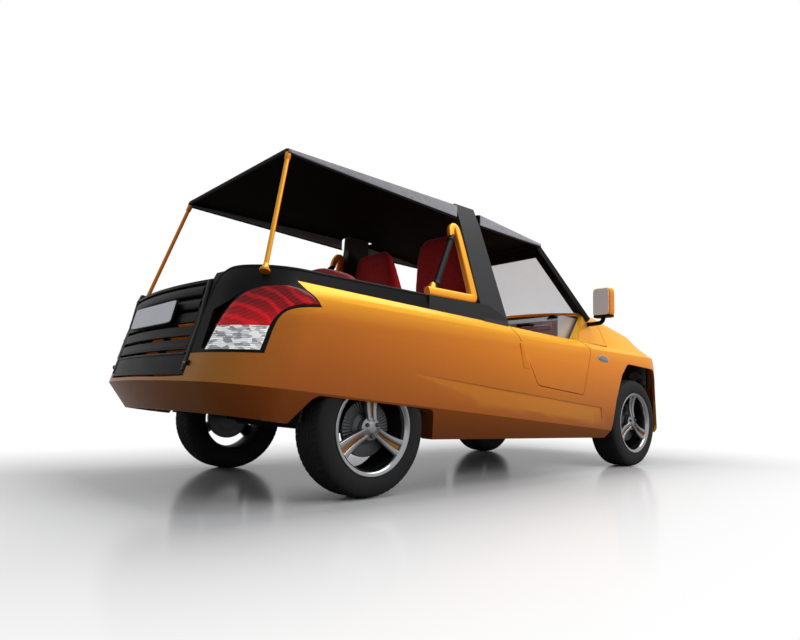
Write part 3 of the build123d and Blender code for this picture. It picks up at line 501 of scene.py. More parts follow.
# %% Finishes on the solids
FINISH_OF = {
    paint: ["body_side_left", "body_side_right", "front_wings", "rear_bumper", "front_bumper",
            "bonnet", "cowl", "door_left", "door_right", "roof_poles", "hoop_frames", "mirrors"],
    satin_black: ["tailgate", "bed_rails", "windscreen_frame", "front_grille", "motor_bay",
                  "hoop_struts"],
    hoop_grey: ["roll_hoop"],
    grained_trim: ["dashboard", "grab_handle", "steering_column", "steering_wheel", "seat_bases",
                   "battery_block"],
    bare_floor: ["floor_pan"],
    cast_black: ["knuckle_left", "knuckle_right", "front_subframe", "rear_axle"],
    motor_metal: ["motor_block"],
    tail_glass: ["tail_lamps"],
    head_glass: ["headlamps"],
    screen_glass: ["windscreen_glass"],
    plate_white: ["number_plate"],
    roof_weave: ["roof_panel"],
    seat_cloth: ["front_seats", "rear_bench"],
}
WHEELS = {f"{end}_{side}": (way, y)
          for end, y in (("front", FRONT_AXLE), ("rear", REAR_AXLE))
          for side, way in (("left", -1), ("right", 1))}
for place in WHEELS:
    FINISH_OF.setdefault(rubber, []).append(f"tyre_{place}")
    FINISH_OF.setdefault(polished, []).append(f"rim_{place}")
for finish, names in FINISH_OF.items():
    for name in names:
        solid = nodes[name]
        if not solid.material_slots:
            solid.data.materials.append(finish)
        for place in solid.material_slots:
            place.material = finish
print("solids with a finish", sum(len(names) for names in FINISH_OF.values()))

# %% [markdown]
# ## Surfaces from numbers
# Most pieces here are a grid: rows of points, each row a closed section, joined into quads. One
# function turns grids into a mesh, closes what wraps round, merges the points that meet in a
# pole, and points the faces outwards. Sections and paths come as whole arrays.

# %% Grids to pieces
def quads(rows, columns, wrap_rows, wrap_columns, start):
    """Corner numbers of each quad between neighbouring points of a grid."""
    i, j = np.meshgrid(np.arange(rows - (not wrap_rows)), np.arange(columns - (not wrap_columns)),
                       indexing="ij")
    k, m = (i + 1) % rows, (j + 1) % columns
    corners = np.stack([i * columns + j, k * columns + j, k * columns + m, i * columns + m], -1)
    return corners.reshape(-1, 4) + start


def piece(name, patches, finish, body, stands_for=(), sharp=38.0):
    """Object of one or more grids (points, rows wrap, columns wrap), riding on a body."""
    points, faces, start = [], [], 0
    for grid, wrap_rows, wrap_columns in patches:
        rows, columns = grid.shape[:2]
        points.append(grid.reshape(-1, 3))
        faces.append(quads(rows, columns, wrap_rows, wrap_columns, start))
        start += rows * columns
    mesh = bpy.data.meshes.new(name)
    mesh.from_pydata(np.concatenate(points).tolist(), [], np.concatenate(faces).tolist())
    work = bmesh.new()
    work.from_mesh(mesh)
    bmesh.ops.remove_doubles(work, verts=work.verts, dist=2e-5)
    bmesh.ops.dissolve_degenerate(work, edges=work.edges, dist=1e-6)
    bmesh.ops.recalc_face_normals(work, faces=work.faces)
    work.to_mesh(mesh)
    work.free()
    return dressed(name, mesh, finish, body, stands_for, sharp)


def dressed(name, mesh, finish, body, stands_for=(), sharp=38.0):
    """Object of a finished mesh, with its finish, riding on a body."""
    mesh.shade_smooth()
    mesh.set_sharp_from_angle(angle=math.radians(sharp))
    mesh.materials.clear()
    mesh.materials.append(finish)
    made = bpy.data.objects.new(name, mesh)
    bpy.context.scene.collection.objects.link(made)
    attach(made, body)
    if stands_for:
        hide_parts(*stands_for)
    return made


def superellipse(half_x, half_y, power, count=32):
    """Closed outline between an ellipse (power 2) and a rectangle (a high power)."""
    turn = np.linspace(0, 2 * np.pi, count, endpoint=False)
    c, s = np.cos(turn), np.sin(turn)
    return np.stack([half_x * np.sign(c) * abs(c) ** (2 / power),
                     half_y * np.sign(s) * abs(s) ** (2 / power)], -1)


def smooth_path(corners, count=48, rounds=3):
    """Corners cut three times (each cut keeps 1/4 and 3/4 of a run), then spaced evenly."""
    path = np.array(corners, float)
    for _ in range(rounds):
        first, last = path[:1], path[-1:]
        a, b = path[:-1], path[1:]
        path = np.concatenate([first, np.stack([0.75 * a + 0.25 * b, 0.25 * a + 0.75 * b],
                                               1).reshape(-1, 3), last])
    run = np.concatenate([[0], np.cumsum(np.linalg.norm(np.diff(path, axis=0), axis=1))])
    even = np.linspace(0, run[-1], count)
    return np.stack([np.interp(even, run, path[:, k]) for k in range(3)], -1)


def carried(path, section, up, grow=None):
    """Section (side, up) carried along a path, with its ends closed to their middles."""
    path = np.asarray(path, float)
    along = np.gradient(path, axis=0)
    along /= np.linalg.norm(along, axis=1, keepdims=True)
    side = np.cross(along, np.asarray(up, float))
    side /= np.linalg.norm(side, axis=1, keepdims=True)
    over = np.cross(side, along)
    sizes = np.ones(len(path)) if grow is None else grow
    shape = np.broadcast_to(section, (len(path), *np.shape(section)[-2:])) * sizes[:, None, None]
    grid = (path[:, None] + shape[..., :1] * side[:, None] + shape[..., 1:] * over[:, None])
    ends = [np.repeat(path[end][None, None], grid.shape[1], 1) for end in (0, -1)]
    return np.concatenate([ends[0], grid, ends[1]]), False, True


def turned_form(profile, centre, axis, across, count=72):
    """Profile of (along, radius) turned about an axis through centre."""
    axis, across = np.array(axis, float), np.array(across, float)
    axis /= np.linalg.norm(axis)
    across = np.cross(np.cross(axis, across), axis)
    across /= np.linalg.norm(across)
    third = np.cross(axis, across)
    turn = np.linspace(0, 2 * np.pi, count, endpoint=False)
    spokes = np.cos(turn)[:, None] * across + np.sin(turn)[:, None] * third
    profile = np.array(profile, float)
    return (np.array(centre) + profile[None, :, :1] * axis
            + profile[None, :, 1:] * spokes[:, None]), True, False


def rounded_block(centre, half, power=5.0, rows=24, columns=40):
    """Superquadric: a sphere's grid with each cosine and sine raised to 2 / power."""
    v = np.linspace(-np.pi / 2, np.pi / 2, rows)[:, None]
    u = np.linspace(0, 2 * np.pi, columns, endpoint=False)[None]

    def bent(value):
        return np.sign(value) * abs(value) ** (2 / power)

    grid = np.stack([half[0] * bent(np.cos(v)) * bent(np.cos(u)),
                     half[1] * bent(np.cos(v)) * bent(np.sin(u)),
                     half[2] * bent(np.sin(v)) * np.ones_like(u)], -1)
    return grid + np.array(centre), False, True


SIDES = {"left": -1, "right": 1}

# %% [markdown]
# ## Wheels and tyres
# The tyre is a lathe form: its profile runs from one bead over the sidewall and tread to the
# other, and the tread's grooves are cut into the radius as a function of place and angle. The
# wheel has three spokes, each two bars with a gold groove between, a bright outer ring and a
# dark barrel, so each of those is its own piece with its own metal.

# %% Tyres
WHEEL_X, WHEEL_Z = 0.721, 0.330
TREAD_RADIUS, TREAD_POINTS = 0.3292, 57
SIDE_PROFILE = np.array([
    # offset from the middle, radius
    (0.096, 0.2130), (0.1005, 0.2270), (0.1045, 0.2380), (0.1066, 0.2600), (0.1060, 0.2830),
    (0.1022, 0.3020), (0.0945, 0.3150), (0.0840, 0.3225), (0.0700, 0.3264), (0.0580, 0.3282),
])


def tyre_grid(place):
    """Lathe form whose radius drops in four ring grooves and in sipes across the shoulders."""
    way, y = WHEELS[place]
    tread = np.linspace(0.056, -0.056, TREAD_POINTS)
    offset = np.concatenate([SIDE_PROFILE[:, 0], tread, -SIDE_PROFILE[::-1, 0]])
    radius = np.concatenate([SIDE_PROFILE[:, 1], np.full(TREAD_POINTS, TREAD_RADIUS),
                             SIDE_PROFILE[::-1, 1]])
    turn = np.linspace(0, 2 * np.pi, 360, endpoint=False)[:, None]
    x = offset[None]
    rings = sum(np.exp(-((x - at) / 0.0042) ** 4) for at in (-0.039, -0.013, 0.013, 0.039))
    slant = turn * 60 + abs(x) * 90
    cut = np.clip((np.cos(slant) - 0.86) / 0.06, 0, 1)
    shoulder = cut * (abs(x) > 0.043) * (abs(x) < 0.092)
    middle = np.clip((np.cos(turn * 60 + x * 160) - 0.95) / 0.03, 0, 1) * (abs(x) < 0.036)
    depth = np.clip(0.0065 * rings * (abs(x) < 0.05) + 0.0045 * shoulder + 0.003 * middle,
                    0, 0.0065)
    bead = 0.0012 * np.exp(-((radius[None] - 0.252) / 0.0016) ** 2) * np.sign(x)
    r = radius[None] - depth
    grid = np.stack([way * (WHEEL_X + x + bead + 0 * turn), y + r * np.cos(turn),
                     WHEEL_Z + r * np.sin(turn)], -1)
    return grid, True, False


def wheel_turned(place, profile, count=144, closed=True):
    """Lathe form on a wheel's axle, from (offset outward, radius)."""
    way, y = WHEELS[place]
    grid, _, _ = turned_form(profile, (way * WHEEL_X, y, WHEEL_Z), (way, 0, 0), (0, 0, 1), count)
    return grid, True, closed


for place in WHEELS:
    piece(f"tyre_body_{place}", [tyre_grid(place)[:1] + (True, True)], rubber, f"wheel_{place}",
          [f"tyre_{place}"], sharp=30.0)

# %% Wheel rings, barrel and disc
LIP = [(0.0985, 0.2060), (0.1010, 0.2240), (0.1040, 0.2262), (0.1062, 0.2240), (0.1058, 0.2170),
       (0.1020, 0.2095), (0.0955, 0.2030), (0.0860, 0.1995), (0.0700, 0.1985), (0.0700, 0.2005),
       (0.0880, 0.2030)]
BARREL = [(0.0720, 0.1990), (0.0300, 0.1900), (-0.0300, 0.1880), (-0.0800, 0.1960),
          (-0.0980, 0.2060), (-0.1030, 0.2240), (-0.1050, 0.2240), (-0.1040, 0.2060),
          (-0.0980, 0.2100), (0.0900, 0.2110), (0.0960, 0.2080)]
BELL = [(0.046, 0.0), (0.046, 0.050), (0.034, 0.066), (0.030, 0.080), (0.012, 0.080),
        (0.012, 0.0)]
CAP = [(0.0890, 0.0), (0.0885, 0.016), (0.0865, 0.026), (0.0830, 0.030), (0.0800, 0.046),
       (0.0740, 0.056), (0.0520, 0.058), (0.0480, 0.040), (0.0480, 0.0)]
FINS, FIN_HEIGHT, NUT_CIRCLE = 48, 0.0011, 0.036


def brake_grid(place):
    """Disc whose outer face rises and falls round it, as its fins show."""
    way, y = WHEELS[place]
    turn = np.linspace(0, 2 * np.pi, 288, endpoint=False)[:, None]
    offset = np.array([0.0300, 0.0310, 0.0310, 0.0300, 0.0130, 0.0120, 0.0120, 0.0130])[None]
    radius = np.array([0.078, 0.084, 0.134, 0.139, 0.139, 0.134, 0.084, 0.078])[None]
    fin = np.clip(np.cos(turn * FINS) * 3, -1, 1) * FIN_HEIGHT
    face = np.array([0, 1, 1, 0, 0, 0, 0, 0])[None]
    x = offset + fin * face
    return np.stack([way * (WHEEL_X + x), y + radius * np.cos(turn) + 0 * x,
                     WHEEL_Z + radius * np.sin(turn) + 0 * x], -1), True, True


def on_wheel(place, outward, radius, sideways, turn):
    """Point of a wheel: outward from its middle plane, then along and across a spoke."""
    way, y = WHEELS[place]
    return np.stack([way * (WHEEL_X + outward),
                     y + way * (radius * math.sin(turn) + sideways * math.cos(turn)),
                     WHEEL_Z + radius * math.cos(turn) - sideways * math.sin(turn)], -1)


def spoke_bar(place, turn, hand):
    """Bar from the hub to the ring: it widens outward, stands away from its twin and dishes in."""
    run = np.linspace(0, 1, 26)
    radius = 0.040 + 0.163 * run
    outward = 0.0770 - 0.0125 * np.sin(np.pi * run) + 0.006 * run
    sideways = hand * (0.0165 + 0.0125 * run ** 1.6)
    wide = 0.0098 + 0.0062 * run ** 1.5
    path = on_wheel(place, outward, radius, sideways, turn)
    section = np.stack([superellipse(w, 0.0125, 3.2, 24) for w in wide])
    return carried(path, section, (1, 0, 0))


def groove_strip(place, turn):
    """Gold floor of the groove between two bars."""
    run = np.linspace(0, 1, 16)
    path = on_wheel(place, 0.0715 - 0.0125 * np.sin(np.pi * run) + 0.006 * run,
                    0.052 + 0.147 * run, 0 * run, turn)
    section = np.stack([superellipse(w, 0.006, 4.0, 16) for w in 0.0085 + 0.0085 * run])
    return carried(path, section, (1, 0, 0))


def lug_nut(place, turn):
    """Six-sided nut with a domed end."""
    way, _ = WHEELS[place]
    middle = on_wheel(place, 0.0, NUT_CIRCLE, 0.0, turn)
    profile = np.array([(0.078, 0.0), (0.078, 0.0105), (0.091, 0.0105), (0.0945, 0.008),
                        (0.0955, 0.0)])
    return turned_form(profile, middle, (way, 0, 0), (0, 0, 1), 6)


for place in WHEELS:
    body = f"wheel_{place}"
    turns = [math.radians(120 * k) for k in range(3)]
    spokes = [spoke_bar(place, turn, hand) for turn in turns for hand in (-1, 1)]
    piece(f"wheel_spokes_{place}", spokes + [wheel_turned(place, CAP, 72, False)], polished, body,
          [f"rim_{place}"])
    piece(f"wheel_ring_{place}", [wheel_turned(place, LIP)], chrome, body)
    piece(f"wheel_barrel_{place}", [wheel_turned(place, BARREL)], dark_metal, body)
    piece(f"wheel_grooves_{place}", [groove_strip(place, turn) for turn in turns], gold, body)
    piece(f"wheel_nuts_{place}", [lug_nut(place, turn + math.pi / 3) for turn in turns], brushed,
          body, sharp=20.0)
    piece(f"wheel_brake_{place}", [brake_grid(place), wheel_turned(place, BELL, 72, False)],
          brushed, body, sharp=50.0)
print("wheels", len(WHEELS), "tyre radius", round(float(WHEEL_Z), 3))

# %% [markdown]
# ## The slatted tailgate
# The tail is bowed in plan, and it leans forward as it rises. Its surface is a circle of 2.78 m
# radius moved forward with height, so a slat is a rounded blade carried along that circle. Five
# of them cover the solid's slats, a thin dark screen lies behind the upper ones, and a strip in a
# lighter grey, painted highlight for the gate's bevel, closes the gate at each side.

# %% Slats
BOW_RADIUS, SLAT_HALF, EDGE_X = 2.783, 0.4475, 0.4755
SLATS, FIRST_SLAT_Z, SLAT_PITCH, PANEL_TOP = 5, 0.698, 0.063, 0.655
LEAN_Z = (0.533, 0.759, 0.814, 0.890, 1.000, 1.050)
LEAN_IN = (0.0, 0.066, 0.080, 0.094, 0.116, 0.140)


def tail_y(x, z):
    """Where the tail's skin is: forward with height, and forward away from the middle."""
    return TAIL + np.interp(z, LEAN_Z, LEAN_IN) + BOW_RADIUS - np.sqrt(BOW_RADIUS ** 2 - x ** 2)


def gate_slat(z):
    """Blade with a round front, 52 mm high, whose lower edge is tucked in."""
    x = np.linspace(-SLAT_HALF, SLAT_HALF, 49)
    turn = np.linspace(0, 2 * np.pi, 28, endpoint=False)
    out = np.where(np.cos(turn) > 0, 0.0155 * np.cos(turn), 0.0125 * np.cos(turn))
    high = 0.0262 * np.sign(np.sin(turn)) * abs(np.sin(turn)) ** 0.8
    levels = z + high[None] + 0 * x[:, None]
    y = tail_y(x[:, None], levels) + 0.0105 - out[None] + 0.10 * (levels - z)
    grid = np.stack([x[:, None] + 0 * levels, y, levels], -1)
    ends = [np.repeat(grid[end].mean(0)[None, None], len(turn), 1) for end in (0, -1)]
    return np.concatenate([ends[0], grid, ends[1]]), False, True


slat_satin = coated("slat_satin", colour(15, 15, 16), colour(52, 52, 55), 0.40, 900.0, 0.0001,
                    coat=0.05, shine=0.15)
# a lighter grey for the gate's side strips and lip: a painted highlight on their edges
edge_painted_highlight = coated("gate_edge_painted_highlight", colour(30, 31, 33), colour(84, 85, 88), 0.38, 900.0,
                   0.0001, coat=0.05)
for i in range(SLATS):
    piece(f"gate_slat_{i + 1}", [gate_slat(FIRST_SLAT_Z + SLAT_PITCH * i)], slat_satin, "gate")
screen_x, SCREEN_Z, SCREEN_LEAN = np.linspace(-SLAT_HALF, SLAT_HALF, 33), 0.9065, 0.184
screen_line = np.stack([screen_x, tail_y(screen_x, SCREEN_Z) + 0.0280, 0 * screen_x + SCREEN_Z], -1)
piece("gate_screen", [carried(screen_line, superellipse(0.0010, 0.0626, 8.0, 24),
                              (0, math.sin(SCREEN_LEAN), math.cos(SCREEN_LEAN)))],
      bare_floor, "gate")


def gate_edge(way):
    """Rounded strip up the gate's side."""
    z = np.linspace(0.578, 0.992, 40)
    x = np.full(40, way * EDGE_X)
    path = np.stack([x, tail_y(x, z) + 0.0005, z], -1)
    return carried(path, superellipse(0.0150, 0.0085, 2.6, 20), (0, -1, 0))


for side, way in SIDES.items():
    piece(f"gate_edge_{side}", [gate_edge(way)], edge_painted_highlight, "gate")
# the lip across the gate takes the same lighter grey, a painted highlight on its edge
lower = np.linspace(-0.455, 0.455, 45)
lip_line = np.stack([lower, tail_y(lower, PANEL_TOP) - 0.001, 0 * lower + PANEL_TOP], -1)
piece("gate_lip", [carried(lip_line, superellipse(0.006, 0.007, 3.0, 16), (0, -1, 0))],
      edge_painted_highlight, "gate")

# %% [markdown]
# ## The stretched roof
# The roof is one sheet of cloth pulled over the hoop and the windscreen header. It is a surface
# of two numbers: one runs across, over the top and down into a side valance, the other runs
# from tail to screen. The valance is deepest at the hoop and thins to both ends, the cloth sags a
# little between its supports, and it is cut away where the hoop's pillars come through.

# %% Roof sheet
ROOF_BACK, ROOF_BEND, ROOF_FRONT = -1.609, -0.350, 0.440
ROOF_Z, HEADER_Z, ROOF_HALF = 1.6725, 1.6000, 0.6015
NOTCH, NOTCH_X = (-0.430, -0.215), 0.503
EDGE_ROUND = 0.006


def ridge_z(y):
    """Height of the roof's middle: level to the bend, then down to the header."""
    return ROOF_Z + np.clip(y - ROOF_BEND, 0, None) / (ROOF_FRONT - ROOF_BEND) * (
        HEADER_Z - ROOF_Z)


def valance(y):
    """How far the side of the cloth hangs down."""
    return np.interp(y, (ROOF_BACK, ROOF_BEND, ROOF_FRONT), (0.026, 0.088, 0.026))


def edge_fall(over):
    """How far the top bends down just before its side edges."""
    return EDGE_ROUND * np.clip((abs(over) - 0.955) / 0.045, 0, 1) ** 2


def roof_sheet():
    """Cloth grid: across is -1 to 1 over the top and on to +-2 down the valance."""
    y = np.unique(np.concatenate([np.linspace(ROOF_BACK, ROOF_FRONT, 96), NOTCH, [ROOF_BEND]]))
    top = np.unique(np.concatenate([np.linspace(-1, 1, 61), [NOTCH_X / ROOF_HALF,
                                                            -NOTCH_X / ROOF_HALF]]))
    drop = np.linspace(0, 1, 9)[1:]
    across = np.concatenate([-1 - drop[::-1], top, 1 + drop])
    over, down = np.clip(across, -1, 1)[None], np.clip(abs(across) - 1, 0, 1)[None]
    y = y[:, None]
    bays = (np.sin(np.pi * np.clip((y - ROOF_BACK) / (ROOF_BEND - ROOF_BACK), 0, 1)) * 0.009
            + np.sin(np.pi * np.clip((y - ROOF_BEND) / (ROOF_FRONT - ROOF_BEND), 0, 1)) * 0.004)
    sag = bays * (1 - over ** 2)
    z = ridge_z(y) - sag - edge_fall(over) - down * (valance(y) - EDGE_ROUND)
    x = over * ROOF_HALF + np.sign(over) * 0.0012 * np.sin(down * np.pi)
    grid = np.stack([x + 0 * y, y + 0 * x, z + 0 * x], -1)
    kept = np.ones((grid.shape[0] - 1, grid.shape[1] - 1), bool)
    middle_y = (y[:-1, 0] + y[1:, 0]) / 2
    middle_x = (across[:-1] + across[1:]) / 2
    inside = (middle_y > NOTCH[0]) & (middle_y < NOTCH[1])
    kept[np.ix_(inside, abs(middle_x) > NOTCH_X / ROOF_HALF)] = False
    return grid, kept


def sheet_piece(name, grid, kept, finish, body, stands_for, thick):
    """Open grid of cloth with some quads left out, given a thickness below."""
    rows, columns = grid.shape[:2]
    faces = quads(rows, columns, False, False, 0)[kept.ravel()]
    used, numbers = np.unique(faces, return_inverse=True)
    mesh = bpy.data.meshes.new(name)
    mesh.from_pydata(grid.reshape(-1, 3)[used].tolist(), [], numbers.reshape(-1, 4).tolist())
    if mesh.polygons[len(mesh.polygons) // 2].normal.z < 0:
        mesh.flip_normals()
    made = dressed(name, mesh, finish, body, stands_for, 60.0)
    thickness = made.modifiers.new("thickness", "SOLIDIFY")
    thickness.thickness, thickness.offset = thick, -1.0
    return made


roof_grid, roof_kept = roof_sheet()
roof_cloth = sheet_piece("roof_sheet", roof_grid, roof_kept, roof_weave, "body",
                         ["roof_panel"], 0.0032)
step_u = np.linalg.norm(np.diff(roof_grid, axis=1), axis=2)
step_v = np.linalg.norm(np.diff(roof_grid, axis=0), axis=2)
quad_area = ((step_u[:-1] + step_u[1:]) * (step_v[:, :-1] + step_v[:, 1:]) / 4)
print("roof flat", round(float(step_u.sum(1).max()), 3), round(float(step_v.sum(0).max()), 3),
      "area", round(float((quad_area * roof_kept).sum()), 3))

# %% Roof hem
binding = woven("roof_binding", colour(26, 26, 28), colour(58, 58, 61), 0.0018, 0.0003)


def hem(side, y_from, y_to):
    """Bound edge under the valance."""
    y = np.linspace(y_from, y_to, 60)
    path = np.stack([np.full(60, side * (ROOF_HALF - 0.0022)), y, ridge_z(y) - valance(y)], -1)
    return carried(path, superellipse(0.0042, 0.0042, 2.0, 12), (0, 0, 1))


def cross_hem(y, z, high):
    """Bound edge across the roof's back or front end."""
    x = np.linspace(-ROOF_HALF + 0.002, ROOF_HALF - 0.002, 48)
    path = np.stack([x, np.full(48, y), z - high - edge_fall(x / ROOF_HALF)], -1)
    return carried(path, superellipse(0.0065, high + 0.0002, 3.0, 18), (0, 0, 1))


hems = [hem(way, *run) for way in (-1, 1)
        for run in ((ROOF_BACK + 0.002, NOTCH[0]), (NOTCH[1], ROOF_FRONT - 0.002))]
hems += [cross_hem(ROOF_BACK + 0.004, ROOF_Z, 0.0095),
         cross_hem(ROOF_FRONT - 0.004, HEADER_Z, 0.0130)]
roof_hem = piece("roof_hem", hems, binding, "body")

# %% [markdown]
# ## Roof poles' fittings
# Each rear pole stands in a small round foot on the rail and ends in a cup under the roof's
# corner. Both are turned forms on the pole's own line.

# %% Pole feet
POLE_FOOT, POLE_HEAD = (0.752, -1.780, 1.018), (0.586, -1.597, 1.660)
COLLAR = [(-0.004, 0.0), (-0.004, 0.023), (0.004, 0.0245), (0.010, 0.021), (0.016, 0.0155),
          (0.030, 0.0135), (0.034, 0.0115), (0.034, 0.0)]
CUP = [(-0.050, 0.0), (-0.050, 0.0120), (-0.046, 0.0142), (-0.012, 0.0150), (-0.008, 0.0)]
for side, way in SIDES.items():
    foot, head = (np.array((way * x, y, z)) for x, y, z in (POLE_FOOT, POLE_HEAD))
    axis = (head - foot) / np.linalg.norm(head - foot)
    piece(f"pole_fittings_{side}", [turned_form(COLLAR, foot, axis, (1, 0, 0), 32),
                                    turned_form(CUP, head, axis, (1, 0, 0), 32)],
          paint, "body")

# %% [markdown]
# ## Frames behind the hoop
# On each side an orange frame stands behind the hoop: a foot bar along the plinth, a bar up the
# hoop and a hooked top, which holds the upper end of a dark strut. The bar is a rounded section
# carried along a smooth path in the hoop's leaning plane.

# %% Hoop frames
HOOP_FOOT, HOOP_HEAD = (0.800, 0.938), (0.610, 1.576)
LEAN = (HOOP_FOOT[0] - HOOP_HEAD[0]) / (HOOP_HEAD[1] - HOOP_FOOT[1])
SLEEVE = [(0.018, 0.0), (0.018, 0.0215), (0.026, 0.0240), (0.034, 0.0215), (0.050, 0.0205),
          (0.050, 0.0)]


def leaning(way, y, z, inward=0.0250):
    """Point of the leaning side plane, at a depth inside the hoop's outer face."""
    y, z = np.asarray(y, float), np.asarray(z, float)
    outer = HOOP_FOOT[0] - LEAN * (z - HOOP_FOOT[1])
    return np.stack([way * (outer - inward), REAR_AXLE + y, z], -1)


frame_line = np.array([(0.405, 1.0650), (0.600, 1.0650), (0.745, 1.0650), (0.781, 1.0700),
                       (0.783, 1.1100), (0.776, 1.3000), (0.769, 1.4900), (0.762, 1.5260),
                       (0.735, 1.5300), (0.712, 1.5000), (0.706, 1.4560)])
for side, way in SIDES.items():
    path = smooth_path(leaning(way, frame_line[:, 0], frame_line[:, 1]), 90)
    outward = (way, 0, LEAN)
    wide = np.interp(np.linspace(0, 1, 90), (0, 0.35, 0.8, 1.0), (1.0, 1.0, 0.86, 0.72))
    main = carried(path, superellipse(0.0290, 0.0222, 4.0, 28), outward, wide)
    bump = carried(smooth_path(leaning(way, (0.440, 0.452, 0.466), (1.060, 1.092, 1.118)), 16),
                   superellipse(0.0235, 0.0225, 3.0, 28), outward,
                   np.sqrt(np.linspace(1.0, 0.42, 16)))
    piece(f"hoop_frame_{side}", [main, bump], paint, "body",
          ["hoop_frames"] if side == "left" else [])
    low, high = leaning(way, 0.475, 1.095, 0.024), leaning(way, 0.715, 1.462, 0.024)
    axis = (high - low) / np.linalg.norm(high - low)
    rings = [turned_form(SLEEVE, low, axis, (way, 0, 0), 32),
             turned_form(SLEEVE, high - axis * 0.070, axis, (way, 0, 0), 32)]
    piece(f"strut_rings_{side}", rings, satin_black, "body")
print("strut length", round(float(np.linalg.norm(high - low)), 3))

# %% [markdown]
# ## Seats
# The seats are foam under cloth. Each back is a stack of closed sections that narrows to a
# rounded head, with side bolsters that stand forward; it starts a little small, and a cloth
# simulation with pressure inside swells it, so it bulges between its edges as a stuffed cover
# does. Both front seats are one swollen seat and its mirror image.

# %% Padded forms
SEAT_X = 0.350
SWELL_FRAMES, VOXEL, PRESSURE, CLOTH_STEPS = 12, 0.0105, 3.0, 3
SEAT_CAP, BENCH_CAP, FOAM_FILL = 0.010, 0.008, 0.7


def padded_back(x, rows):
    """Closed stack of sections (z, middle y, half width, half depth), bolsters at the sides."""
    rows = np.array(rows, float)
    z = np.linspace(rows[0, 0], rows[-1, 0], 64)
    y, wide, deep = (np.interp(z, rows[:, 0], rows[:, k]) for k in (1, 2, 3))
    end = np.minimum(z - z[0], z[-1] - z) / 0.055
    round_end = np.sqrt(np.clip(1 - (1 - np.clip(end, 0, 1)) ** 2, 0.0, 1))
    outline = np.stack([superellipse(1.0, 1.0, 3.6, 56)] * len(z))
    side = outline[..., 0] * (wide * (0.72 + 0.28 * round_end))[:, None]
    over = outline[..., 1] * (deep * round_end)[:, None]
    bolster = np.clip((abs(outline[..., 0]) - 0.55) / 0.4, 0, 1) * (outline[..., 1] > 0) * 0.020
    low = (np.clip((1.38 - z) / 0.2, 0, 1) * round_end)[:, None]
    grid = np.stack([x + side, y[:, None] + over + bolster * low, z[:, None] + 0 * side], -1)
    return grid, False, True


def padded_cushion(x, half, y, z, count=64, bolster=0.018):
    """Crowned block (half width, y from-to, z from-to) whose sides stand up as bolsters."""
    centre = (x, sum(y) / 2, sum(z) / 2)
    grid, _, _ = rounded_block(centre, (half, (y[1] - y[0]) / 2, (z[1] - z[0]) / 2), 4.4, 40,
                               count)
    side = np.clip((abs(grid[..., 0] - x) / half - 0.6) / 0.35, 0, 1)
    grid[..., 2] += bolster * side * (grid[..., 2] > centre[2]) - 0.010 * (
        1 - side) * (grid[..., 2] > centre[2])
    return grid, False, True


def swell(made, cap):
    """Voxel mesh of the form, blown up by a cloth simulation, with each point's way limited."""
    remesh = made.modifiers.new("voxels", "REMESH")
    remesh.mode, remesh.voxel_size = "VOXEL", VOXEL
    bpy.context.view_layer.objects.active = made
    bpy.context.view_layer.update()
    depsgraph = bpy.context.evaluated_depsgraph_get()
    mesh = bpy.data.meshes.new_from_object(made.evaluated_get(depsgraph))
    made.modifiers.clear()
    made.data = mesh
    before = np.zeros(len(mesh.vertices) * 3)
    mesh.vertices.foreach_get("co", before)
    cloth = made.modifiers.new("cloth", "CLOTH")
    cloth.settings.use_pressure = True
    cloth.settings.uniform_pressure_force = PRESSURE
    cloth.settings.effector_weights.gravity = 0.0
    cloth.settings.quality = CLOTH_STEPS
    cloth.point_cache.frame_start, cloth.point_cache.frame_end = 1, SWELL_FRAMES
    scene = bpy.context.scene
    for step in range(1, SWELL_FRAMES + 1):
        scene.frame_set(step)
    mesh = bpy.data.meshes.new_from_object(
        made.evaluated_get(bpy.context.evaluated_depsgraph_get()))
    made.modifiers.clear()
    made.data = mesh
    after = np.zeros(len(mesh.vertices) * 3)
    mesh.vertices.foreach_get("co", after)
    moved = (after - before).reshape(-1, 3)
    far = np.linalg.norm(moved, axis=1, keepdims=True)
    moved *= np.minimum(1.0, cap / np.maximum(far, 1e-9))
    mesh.vertices.foreach_set("co", (before.reshape(-1, 3) + moved).ravel())
    scene.frame_set(1)
    print(made.name, "swelled by", round(float(far.max()), 4), "capped at", cap)
    smooth = bmesh.new()
    smooth.from_mesh(mesh)
    for _ in range(4):
        bmesh.ops.smooth_vert(smooth, verts=smooth.verts, factor=0.5, use_axis_x=True,
                              use_axis_y=True, use_axis_z=True)
    smooth.to_mesh(mesh)
    smooth.free()
    mesh.shade_smooth()


def pad(name, form, cap, stands_for=()):
    """Swollen cushion of seat cloth."""
    made = piece(name, [form], seat_cloth, "body", stands_for)
    swell(made, cap)
    made.data.materials.clear()
    made.data.materials.append(seat_cloth)
    return made


def twin(made, name):
    """The same swollen piece on the car's other side."""
    mesh = made.data.copy()
    mesh.transform(Matrix.Scale(-1, 4, (1, 0, 0)))
    mesh.flip_normals()
    dressed(name, mesh, seat_cloth, "body")


